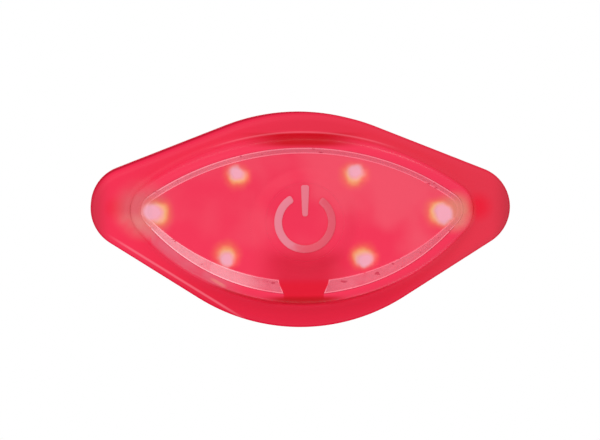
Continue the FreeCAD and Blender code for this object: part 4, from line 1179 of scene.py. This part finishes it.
@dataclass
class SoftCover:
    """The soft red moulding: cover, flexing web and button middle."""

    outline: BodyOutline = BodyOutline()
    dome: AlmondOutline = DOME_FOOT
    back: float = 2.6
    wall: float = 1.2
    flange_depth: float = 10.4
    flange_round: float = 1.4
    dome_depth: float = 14.8
    dome_draft: float = math.radians(12.0)
    dome_round: float = 1.4
    foot_round: float = 1.1
    foot_growth: float = 0.5
    least_round: float = 0.2
    crown: Crown = DOME_CROWN
    level: float = -2.0
    web_outer: float = 9.0
    web_thickness: float = 0.6
    seam: float = 6.42
    seam_gap: float = 0.01
    pad_rise: float = 0.8
    pad_thickness: float = 1.6
    plunger_radius: float = 2.2
    plunger_back: float = 11.67
    plunger_lead: float = 0.2
    face_share: float = 0.6
    press_travel: float = 0.6
    round_steps: int = 8
    face_steps: int = 14
    wall_steps: int = 4
    web_steps: int = 16
    loop_digits: int = 3

    def flange_rings(self, inset: float, drop: float, radius: float) -> list[list[Place]]:
        """Place the rings up the upright wall, round the flange's edge and on to its flat face.

        Args:
            inset: How far the wall lies inside the outer skin.
            drop: How far the face lies behind the outer one.
            radius: The radius round the flange's edge.

        Returns:
            The rings, back edge first.
        """
        front = self.flange_depth - drop
        rings = []
        for step in range(self.wall_steps + 1):
            depth = self.back + (front - radius - self.back) * step / self.wall_steps
            rings.append([(x, -depth, z) for x, z in self.outline.loop(inset)])
        for step in range(1, self.round_steps + 1):
            turn = math.pi / 2 * step / self.round_steps
            reach = inset + radius * (1.0 - math.cos(turn))
            depth = front - radius + radius * math.sin(turn)
            rings.append([(x, -depth, z) for x, z in self.outline.loop(reach)])
        return rings

    def foot_rings(self, inset: float, drop: float, foot: float) -> list[list[Place]]:
        """Place the rings round the hollow corner between the flange's face and the dome's wall.

        Args:
            inset: How far the wall's foot lies inside the dome's outline.
            drop: How far the face lies behind the outer one.
            foot: The corner's radius.

        Returns:
            The rings, lowest first.
        """
        front = self.flange_depth - drop
        swing = math.pi / 2 - self.dome_draft
        middle = -foot * math.tan(swing / 2)
        steps = self.round_steps // 2
        rings = []
        for step in range(steps + 1):
            turn = swing * step / steps
            depth = front + foot * (1.0 - math.cos(turn))
            rings.append([(x, -depth, z) for x, z in self.dome.loop(inset + middle + foot * math.sin(turn))])
        return rings

    def dome_rings(self, inset: float, drop: float, foot: float, radius: float) -> list[list[Place]]:
        """Place the rings up the dome's leaning wall and round its edge on to its crowned face.

        Args:
            inset: How far the wall's foot lies inside the dome's outline.
            drop: How far the faces lie behind the outer ones.
            foot: The radius in the corner at the dome's foot.
            radius: The radius round the dome's edge.

        Returns:
            The rings, lowest first.
        """
        front = self.flange_depth - drop
        lean = math.tan(self.dome_draft)
        start = foot * (1.0 - math.sin(self.dome_draft))
        flat = self.dome.loop(inset)
        rings = []
        for step in range(1, self.wall_steps + self.round_steps + 1):
            loops = {}
            ring = []
            for number, (x, _) in enumerate(flat):
                centre = self.dome_depth - drop - self.crown.drop(x) - radius
                end = centre + radius * math.sin(self.dome_draft) - front
                if step <= self.wall_steps:
                    rise = start + (end - start) * step / self.wall_steps
                    reach, depth = inset + rise * lean, front + rise
                else:
                    share = (step - self.wall_steps) / self.round_steps
                    turn = self.dome_draft + (math.pi / 2 - self.dome_draft) * share
                    hub = end * lean + radius * math.cos(self.dome_draft)
                    reach, depth = inset + hub - radius * math.cos(turn), centre + radius * math.sin(turn)
                key = round(reach, self.loop_digits)
                if key not in loops:
                    loops[key] = self.dome.loop(key)
                across, up = loops[key][number]
                ring.append((across, -depth, up))
            rings.append(ring)
        return rings

    def face_rings(self, rim: Sequence[Place], drop: float) -> list[list[Place]]:
        """Place the rings across the dome's face, from its edge to the button's round opening.

        Args:
            rim: The dome's last ring.
            drop: How far the face lies behind the outer one.

        Returns:
            The rings, outermost first.
        """
        opening = []
        for x, _, z in rim:
            turn = math.atan2(z - self.level, x)
            opening.append((self.web_outer * math.cos(turn), self.level + self.web_outer * math.sin(turn)))
        rings = []
        for step in range(1, self.face_steps + 1):
            share = step / self.face_steps
            ring = []
            for (x, _, z), (open_x, open_z) in zip(rim, opening):
                across = x + (open_x - x) * share
                depth = self.dome_depth - drop - self.crown.drop(across)
                ring.append((across, -depth, z + (open_z - z) * share))
            rings.append(ring)
        return rings

    def skin_rings(self, inset: float, drop: float) -> list[list[Place]]:
        """Place all rings of one skin, from the back edge to the button's opening.

        Args:
            inset: How far the wall lies inside the outer skin.
            drop: How far the faces lie behind the outer ones.

        Returns:
            The rings, back edge first.
        """
        flange = self.flange_rings(inset, drop, max(self.flange_round - inset, self.least_round))
        draw = inset / math.cos(self.dome_draft) - drop * math.tan(self.dome_draft)
        foot = self.foot_round + inset * self.foot_growth
        dome = self.dome_rings(draw, drop, foot, max(self.dome_round - inset, self.least_round))
        return flange + self.foot_rings(draw, drop, foot) + dome + self.face_rings(dome[-1], drop)

    def build_cover(self, finishes: Sequence[Material]) -> None:
        """Make the cover as one closed wall.

        Args:
            finishes: The moulding's materials, in the order of the faces' numbers.
        """
        outer = self.skin_rings(0.0, 0.0)
        inner = self.skin_rings(self.wall, self.wall)
        upright = self.wall_steps + self.round_steps // 2
        marks = [Skin.SIDE] * upright + [Skin.OUTSIDE] * (len(outer) - 1 - upright)
        marks += [Skin.INSIDE] * len(inner) + [Skin.SIDE]
        shape = grown(outer + inner[::-1] + outer[:1], marks)
        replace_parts(new_piece("soft_cover", shape, finishes, Body.HOUSING), "front_cover")

    def build_web(self, finishes: Sequence[Material]) -> None:
        """Make the thin ring round the button, gently curved at both edges.

        Args:
            finishes: The moulding's materials, in the order of the faces' numbers.
        """
        front, back = [], []
        inner = self.seam + self.seam_gap
        for step in range(self.web_steps + 1):
            share = step / self.web_steps
            radius = self.web_outer + (inner - self.web_outer) * share
            depth = self.dome_depth + self.pad_rise * eased(share)
            front.append((radius, depth))
            back.append((radius, depth - self.web_thickness))
        shape = spun(front + back[::-1], self.level)
        piece = new_piece("flexing_web", shape, finishes, Body.HOUSING)
        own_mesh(piece)
        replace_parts(piece, "button_web")

    def build_middle(self, finishes: Sequence[Material]) -> None:
        """Make the stiff middle of the button with the plunger behind it.

        Args:
            finishes: The moulding's materials, in the order of the faces' numbers.
        """
        front = self.dome_depth + self.pad_rise
        back = front - self.pad_thickness
        profile = [
            (0.0, self.plunger_back), (self.plunger_radius - self.plunger_lead, self.plunger_back),
            (self.plunger_radius, self.plunger_back + self.plunger_lead), (self.plunger_radius, back),
            (self.seam, back), (self.seam, front), (self.seam * self.face_share, front), (0.0, front),
        ]
        piece = new_piece("button_middle", spun(profile, self.level), finishes, Body.BUTTON)
        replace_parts(piece, "button_pad")

    def build(self) -> None:
        """Make the moulding's three pieces and dress them."""
        finishes = (
            CoverFinish().build(LAMPS),
            InsideFinish().build(),
            CoverFinish(name="cover_side", gloss=0.0).build(LAMPS),
        )
        self.build_cover(finishes)
        self.build_web(finishes)
        self.build_middle(finishes)


@dataclass
class PowerSymbol:
    """The raised power symbol: an open ring and a tapered bar on the button's middle."""

    level: float = -2.0
    face: float = 15.6
    rise: float = 0.2
    root: float = 0.12
    ring_radius: float = 4.42
    stroke: float = 1.3
    open_from: float = math.radians(56.0)
    open_to: float = math.radians(118.0)
    bar_top: float = 6.1
    bar_bottom: float = 0.93
    bar_width_top: float = 1.4
    bar_width_bottom: float = 0.95
    edge: float = 0.18
    edge_steps: int = 3
    front_slack: float = 0.001
    end_round: float = 0.42
    end_steps: int = 5
    ring_steps: int = 40

    def ring_shape(self) -> Shape:
        """Spin the open ring from its section.

        Returns:
            The ring, with sharp edges.
        """
        shape = bmesh.new()
        half = self.stroke / 2
        section = []
        for out, depth in ((-half, -self.root), (half, -self.root), (half, self.rise), (-half, self.rise)):
            reach = self.ring_radius + out
            across, up = reach * math.cos(self.open_to), reach * math.sin(self.open_to)
            section.append(shape.verts.new((across, -(self.face + depth), self.level + up)))
        face = shape.faces.new(section)
        bmesh.ops.spin(shape, geom=[face, *face.edges, *face.verts], cent=(0.0, 0.0, self.level),
                       axis=(0.0, -1.0, 0.0), angle=2 * math.pi - (self.open_to - self.open_from),
                       steps=self.ring_steps)
        bmesh.ops.remove_doubles(shape, verts=shape.verts, dist=WELD)
        return shape

    def bar_shape(self) -> Shape:
        """Make the bar, wider at the top.

        Returns:
            The bar, with sharp edges.
        """
        shape = bmesh.new()
        bmesh.ops.create_cube(shape, size=1.0)
        middle = (self.bar_top + self.bar_bottom) / 2
        tall = self.bar_top - self.bar_bottom
        for vertex in shape.verts:
            width = self.bar_width_top if vertex.co.z > 0.0 else self.bar_width_bottom
            depth = self.rise if vertex.co.y < 0.0 else -self.root
            up = self.level + middle + vertex.co.z * tall
            vertex.co = Vector((vertex.co.x * width, -(self.face + depth), up))
        return shape

    def softened(self, shape: Shape) -> Shape:
        """Round a stroke's ends and the edges of its front face.

        Args:
            shape: The stroke.

        Returns:
            The same shape.
        """
        bmesh.ops.recalc_face_normals(shape, faces=shape.faces)
        upright = [edge for edge in shape.edges if edge.verts[0].co.y != edge.verts[1].co.y]
        ends = [edge for edge in upright if edge.calc_face_angle(0.0) > SHARP_EDGE]
        bmesh.ops.bevel(shape, geom=ends, offset=self.end_round, segments=self.end_steps, profile=0.5,
                        affect="EDGES", material=-1)
        front = -(self.face + self.rise) + self.front_slack
        face_edges = [edge for edge in shape.edges if all(vertex.co.y < front for vertex in edge.verts)]
        rim = [edge for edge in face_edges if edge.calc_face_angle(0.0) > SHARP_EDGE]
        bmesh.ops.bevel(shape, geom=rim, offset=self.edge, segments=self.edge_steps, profile=0.5,
                        affect="EDGES", material=-1)
        return shape

    def build(self) -> None:
        """Make both strokes and dress them."""
        finish = [SymbolFinish().build()]
        new_piece("symbol_ring", self.softened(self.ring_shape()), finish, Body.BUTTON)
        new_piece("symbol_bar", self.softened(self.bar_shape()), finish, Body.BUTTON)


@dataclass
class LightRing:
    """The clear light guide: an open almond ring with bright edges, slanted ends and lamp pockets."""

    outside: AlmondOutline = RING_OUTSIDE
    inside: AlmondOutline = RING_INSIDE
    back: float = 7.0
    front: float = 13.35
    draft: float = math.radians(8.0)
    edge: float = 0.17
    crown: Crown = DOME_CROWN
    band_steps: int = 3
    notch_half: float = 4.9
    notch_flare: float = -2.69
    notch_high: float = -9.7
    notch_low: float = -17.1
    notch_margin: float = 1.0
    lamp_long: float = 3.5
    lamp_short: float = 2.8
    lamp_front: float = 8.9
    lamp_gap: float = 0.15
    pocket_overlap: float = 0.5

    def level_ring(self, loop: Sequence[Point], depth: float) -> list[Place]:
        """A ring at one depth."""
        return [(x, -depth, z) for x, z in loop]

    def crowned_ring(self, loop: Sequence[Point], drop: float) -> list[Place]:
        """A ring on the crowned face, or a drop behind it."""
        return [(x, -(self.front - drop - self.crown.drop(x)), z) for x, z in loop]

    def whole_ring(self) -> Shape:
        """Grow the closed ring before its gap is cut.

        Returns:
            The ring.
        """
        spread = (self.front - self.back) * math.tan(self.draft)
        foot = self.edge * math.tan(self.draft)
        outer, inner = self.outside.loop(self.edge), self.inside.loop(-self.edge)
        rings = [
            self.level_ring(self.outside.loop(-spread), self.back),
            self.crowned_ring(self.outside.loop(-foot), self.edge),
            self.crowned_ring(outer, 0.0),
        ]
        for step in range(1, self.band_steps + 1):
            share = step / self.band_steps
            loop = [(a + (c - a) * share, b + (d - b) * share) for (a, b), (c, d) in zip(outer, inner)]
            rings.append(self.crowned_ring(loop, 0.0))
        rings += [
            self.crowned_ring(self.inside.loop(foot), self.edge),
            self.level_ring(self.inside.loop(spread), self.back),
        ]
        marks = [Ring.WALL, Ring.EDGE] + [Ring.BAND] * self.band_steps + [Ring.EDGE, Ring.WALL, Ring.WALL]
        return grown(rings + rings[:1], marks)

    def gap_half(self, up: float) -> float:
        """Half the gap's width at a height."""
        share = (self.notch_high - up) / (self.notch_high - self.notch_low)
        return self.notch_half + self.notch_flare * share

    def cut_gap(self, shape: Shape) -> None:
        """Cut the gap below, close both slanted ends and mark their bright edges.

        Args:
            shape: The closed ring.
        """
        slope = Vector((self.notch_flare, 0.0, self.notch_low - self.notch_high)).normalized()
        for way in (-1.0, 1.0):
            normal = Vector((way * -slope.z, 0.0, slope.x))
            for offset in (0.0, self.edge):
                start = (way * (self.notch_half + offset), 0.0, self.notch_high)
                bmesh.ops.bisect_plane(shape, geom=shape.verts[:] + shape.edges[:] + shape.faces[:],
                                       plane_co=start, plane_no=normal)
        gone = []
        for face in shape.faces:
            centre = face.calc_center_median()
            beyond = abs(centre.x) - self.gap_half(centre.z)
            if centre.z >= self.notch_high + self.notch_margin:
                continue
            if beyond < 0.0:
                gone.append(face)
            elif beyond < self.edge and face.material_index == Ring.BAND.value:
                face.material_index = Ring.EDGE.value
        bmesh.ops.delete(shape, geom=gone, context="FACES")
        open_edges = [edge for edge in shape.edges if edge.is_boundary]
        for face in bmesh.ops.holes_fill(shape, edges=open_edges, sides=0)["faces"]:
            face.material_index = Ring.WALL.value

    def cut_pockets(self, piece: Piece) -> None:
        """Cut a pocket behind the ring for each lamp.

        Args:
            piece: The ring.
        """
        shape = bmesh.new()
        deep = self.lamp_front + self.lamp_gap - (self.back - self.pocket_overlap)
        for lamp in LAMPS:
            wide, tall = self.lamp_long, self.lamp_short
            if lamp.upright:
                wide, tall = tall, wide
            size = Vector((wide + self.lamp_gap * 2, deep, tall + self.lamp_gap * 2)) * MM
            place = Vector((lamp.place[0], -(self.lamp_front + self.lamp_gap - deep / 2), lamp.place[1])) * MM
            matrix = Matrix.Translation(place) @ Matrix.Diagonal((*size, 1.0))
            bmesh.ops.create_cube(shape, size=1.0, matrix=matrix)
        cutter = placed("lamp_rooms", meshed("lamp_rooms", shape))
        cut = piece.modifiers.new("pockets", "BOOLEAN")
        cut.operation, cut.solver, cut.object = "DIFFERENCE", "EXACT", cutter
        cut_mesh = bpy.data.meshes.new_from_object(piece.evaluated_get(bpy.context.evaluated_depsgraph_get()))
        piece.modifiers.clear()
        piece.data = cut_mesh
        bpy.data.objects.remove(cutter)
        cut_mesh.set_sharp_from_angle(angle=SHARP_EDGE)

    def build(self) -> None:
        """Make the ring and dress its walls, band and edges."""
        finishes = (
            GuideFinish("guide_wall", shade(250, 214, 220), shade(236, 170, 180),
                        solid=0.10, light=0.1, roughness=0.12),
            GuideFinish("guide_band", shade(246, 214, 220), shade(230, 130, 150),
                        solid=0.85, light=0.58, roughness=0.25),
            GuideFinish("guide_edge", shade(255, 240, 244), shade(240, 160, 176),
                        solid=0.95, light=0.95, roughness=0.15),
        )
        shape = self.whole_ring()
        self.cut_gap(shape)
        built = [finish.build() for finish in finishes]
        piece = new_piece("light_ring", shape, built, Body.HOUSING)
        self.cut_pockets(piece)
        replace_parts(piece, "light_guide")


@dataclass
class RearHousing:
    """The rigid rear shell with its twist-off battery door and sealing ring."""

    shell: WorkedFinish = WorkedFinish(
        "shell_red", shade(198, 22, 48), shade(208, 30, 56),
        roughness=0.45, gloss_change=0.06, gloss=0.08, grain=1800.0)
    door: WorkedFinish = WorkedFinish(
        "door_red", shade(186, 18, 42), shade(196, 26, 50),
        roughness=0.5, gloss_change=0.06, gloss=0.08, grain=1800.0)
    seal: WorkedFinish = WorkedFinish("seal_black", shade(28, 28, 28), shade(36, 35, 35), roughness=0.6)

    def build(self) -> None:
        """Dress the shell, the door and its seal."""
        dress(self.shell.build(), ["back_shell"])
        dress(self.door.build(), ["battery_door"])
        dress(self.seal.build(), ["door_seal"])


@dataclass
class LightEngine:
    """The circuit board with six lamps, their lit windows and the small parts behind."""

    board: WorkedFinish = WorkedFinish(
        "board_white", shade(232, 226, 222), shade(222, 214, 210),
        roughness=0.45, gloss_change=0.1, grain=900.0)
    package: WorkedFinish = WorkedFinish("lamp_white", shade(240, 236, 230), shade(230, 224, 216))
    chip: WorkedFinish = WorkedFinish("chip_black", shade(30, 30, 32), shade(38, 37, 39), roughness=0.55)
    resistor: WorkedFinish = WorkedFinish(
        "resistor_black", shade(36, 35, 34), shade(48, 46, 44), roughness=0.35)
    capacitor: WorkedFinish = WorkedFinish(
        "capacitor_tan", shade(168, 138, 98), shade(150, 120, 84), roughness=0.45)

    def build(self) -> None:
        """Dress the board and everything on it."""
        dress(self.board.build(), ["circuit_board"])
        dress(self.package.build(), [lamp.node for lamp in LAMPS])
        dress(WindowFinish().build(), ["led_windows"])
        dress(self.chip.build(), ["controller_chip"])
        dress(self.resistor.build(), ["resistors"])
        dress(self.capacitor.build(), ["capacitor"])


@dataclass
class PushSwitch:
    """The small push switch behind the button."""

    moulding: WorkedFinish = WorkedFinish("switch_black", shade(34, 33, 34), shade(44, 42, 43))
    sheet: WorkedFinish = WorkedFinish(
        "switch_steel", shade(196, 196, 194), shade(176, 176, 174), roughness=0.3, metallic=1.0,
        depth=0.00002, stretch=(1.0, 1.0, 9.0))
    level: float = -2.0
    floor: float = 8.5
    crown: float = 9.75
    reach: float = 2.1
    flat: float = 0.7
    thickness: float = 0.12
    width: float = 1.2
    travel: float = 0.24

    def build_spring(self, finish: Material) -> None:
        """Make the bowed strip under the stem.

        Args:
            finish: The strip's material.
        """
        shape = bmesh.new()
        inner = self.reach - self.thickness
        under = self.crown - self.thickness
        profile = ((-self.reach, self.floor), (-self.flat, self.crown), (self.flat, self.crown),
                   (self.reach, self.floor), (inner, self.floor), (self.flat, under),
                   (-self.flat, under), (-inner, self.floor))
        near = self.level - self.width / 2
        face = shape.faces.new([shape.verts.new((across, -depth, near)) for across, depth in profile])
        far = bmesh.ops.extrude_face_region(shape, geom=[face])["geom"]
        bmesh.ops.translate(shape, vec=(0.0, 0.0, self.width),
                            verts=[item for item in far if isinstance(item, bmesh.types.BMVert)])
        piece = new_piece("bowed_spring", shape, [finish], Body.HOUSING)
        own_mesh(piece)
        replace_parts(piece, "snap_spring")

    def build(self) -> None:
        """Make the spring and dress the switch."""
        steel = self.sheet.build()
        dress(self.moulding.build(), ["switch_body", "switch_stem"])
        dress(steel, ["switch_plate"])
        self.build_spring(steel)


@dataclass
class Battery:
    """The coin cell and the springs that touch it."""

    can: WorkedFinish = WorkedFinish(
        "cell_steel", shade(206, 206, 204), shade(188, 188, 186), roughness=0.28, metallic=1.0, grain=1200.0,
        depth=0.00002, stretch=(1.0, 1.0, 12.0))
    spring: WorkedFinish = WorkedFinish(
        "contact_metal", shade(214, 196, 152), shade(196, 176, 130), roughness=0.3, metallic=1.0,
        depth=0.00002, stretch=(9.0, 1.0, 1.0))

    def build(self) -> None:
        """Dress the cell and its contacts."""
        dress(self.can.build(), ["coin_cell"])
        dress(self.spring.build(), ["negative_contact", "positive_contact"])


@dataclass
class Studio:
    """Camera, lights, pale floor and white surroundings."""

    azimuth: float = math.radians(-4.72)
    elevation: float = math.radians(3.85)
    roll: float = math.radians(0.08)
    distance: float = 400.0
    focal_pixels: float = 2391.3
    sensor: float = 36.0
    aim: Place = (0.0, -7.0, -2.1)
    aim_shift: Point = (-0.116, -0.118)
    floor_level: float = -0.30
    floor_radius: float = 0.38
    floor_fade: float = 0.45
    floor_steps: int = 96
    floor_colour: Colour = (0.92, 0.92, 0.92)
    surround: float = 0.82
    middle: Place = (0.0, -0.008, -0.002)
    near_limit: float = 0.01
    far_limit: float = 20.0
    light_size: float = 0.5
    lights: tuple[tuple[str, Place, float], ...] = (
        ("key", (-0.35, -0.75, 0.55), 1.7),
        ("rear", (0.3, 0.8, 0.5), 1.2),
    )

    def build_camera(self) -> None:
        """Set the camera at the photograph's viewing angle."""
        back = Vector((math.sin(self.azimuth) * math.cos(self.elevation),
                       -math.cos(self.azimuth) * math.cos(self.elevation), math.sin(self.elevation)))
        right = Vector((math.cos(self.azimuth), math.sin(self.azimuth), 0.0))
        up = back.cross(right)
        rolled_right = right * math.cos(self.roll) + up * math.sin(self.roll)
        rolled_up = up * math.cos(self.roll) - right * math.sin(self.roll)
        target = Vector(self.aim) + rolled_right * self.aim_shift[0] + rolled_up * self.aim_shift[1]
        data = bpy.data.cameras.new("camera")
        data.sensor_width = self.sensor
        data.lens = self.focal_pixels / IMAGE_WIDTH * self.sensor
        data.clip_start, data.clip_end = self.near_limit, self.far_limit
        camera = placed("camera", data)
        turn = Matrix((rolled_right, rolled_up, back)).transposed().to_4x4()
        camera.matrix_world = Matrix.Translation((target + back * self.distance) * MM) @ turn
        bpy.context.scene.camera = camera

    def build_light(self, name: str, place: Place, power: float) -> None:
        """Hang a soft square light that looks at the object.

        Args:
            name: The light's name.
            place: Where it hangs, in metres.
            power: Its power, in watts.
        """
        data = bpy.data.lights.new(name, "AREA")
        data.energy = power
        data.size = self.light_size
        light = placed(name, data)
        light.location = place
        light.rotation_euler = (Vector(self.middle) - Vector(place)).to_track_quat("-Z", "Y").to_euler()

    def build_world(self) -> None:
        """Make plain surroundings that the camera, gloss and clear pieces see as white."""
        world = bpy.data.worlds.new("surroundings")
        world.use_nodes = True
        tree = world.node_tree
        tree.nodes.clear()
        output = tree.nodes.new("ShaderNodeOutputWorld")
        path = tree.nodes.new("ShaderNodeLightPath")
        seen = path.outputs["Is Camera Ray"]
        for other in ("Is Transmission Ray", "Is Glossy Ray"):
            either = tree.nodes.new("ShaderNodeMath")
            either.operation = "MAXIMUM"
            tree.links.new(seen, either.inputs[0])
            tree.links.new(path.outputs[other], either.inputs[1])
            seen = either.outputs[0]
        strength = tree.nodes.new("ShaderNodeMapRange")
        tree.links.new(seen, strength.inputs["Value"])
        strength.inputs["To Min"].default_value = self.surround
        strength.inputs["To Max"].default_value = 1.0
        background = tree.nodes.new("ShaderNodeBackground")
        background.inputs["Color"].default_value = (1.0, 1.0, 1.0, 1.0)
        tree.links.new(strength.outputs[0], background.inputs["Strength"])
        tree.links.new(background.outputs[0], output.inputs["Surface"])
        bpy.context.scene.world = world

    def build_floor(self) -> None:
        """Lay a pale floor well below the light, which fades into the white surroundings."""
        wiring = Wiring("floor_white")
        radius = wiring.add("ShaderNodeVectorMath", {0: wiring.coordinates}, operation="LENGTH")
        near = wiring.span(radius.outputs["Value"], self.floor_radius, self.floor_radius * self.floor_fade)
        pale = wiring.add("ShaderNodeBsdfDiffuse", {"Color": self.floor_colour})
        finish = wiring.finish(pale.outputs[0], (1.0, 1.0, 1.0), near)
        shape = bmesh.new()
        bmesh.ops.create_circle(shape, cap_ends=True, radius=self.floor_radius, segments=self.floor_steps)
        mesh = meshed("floor", shape)
        mesh.materials.append(finish)
        floor = placed("floor", mesh)
        floor.location = (0.0, 0.0, self.floor_level)

    def build(self) -> None:
        """Set up camera, world, floor and lights."""
        self.build_camera()
        self.build_world()
        self.build_floor()
        for name, place, power in self.lights:
            self.build_light(name, place, power)
        bpy.context.scene.view_settings.view_transform = "Standard"


def main() -> None:
    """Build every sub-assembly in order and report each one."""
    logging.basicConfig(level=logging.INFO, format="%(message)s")
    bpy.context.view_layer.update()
    builders: tuple[tuple[str, Callable[[], None]], ...] = (
        ("studio", Studio().build),
        ("soft cover", SoftCover().build),
        ("power symbol", PowerSymbol().build),
        ("light ring", LightRing().build),
        ("rear housing", RearHousing().build),
        ("light engine", LightEngine().build),
        ("push switch", PushSwitch().build),
        ("battery", Battery().build),
    )
    for name, build in builders:
        build()
        LOG.info("finished the %s", name)


if __name__ == "__main__":
    main()
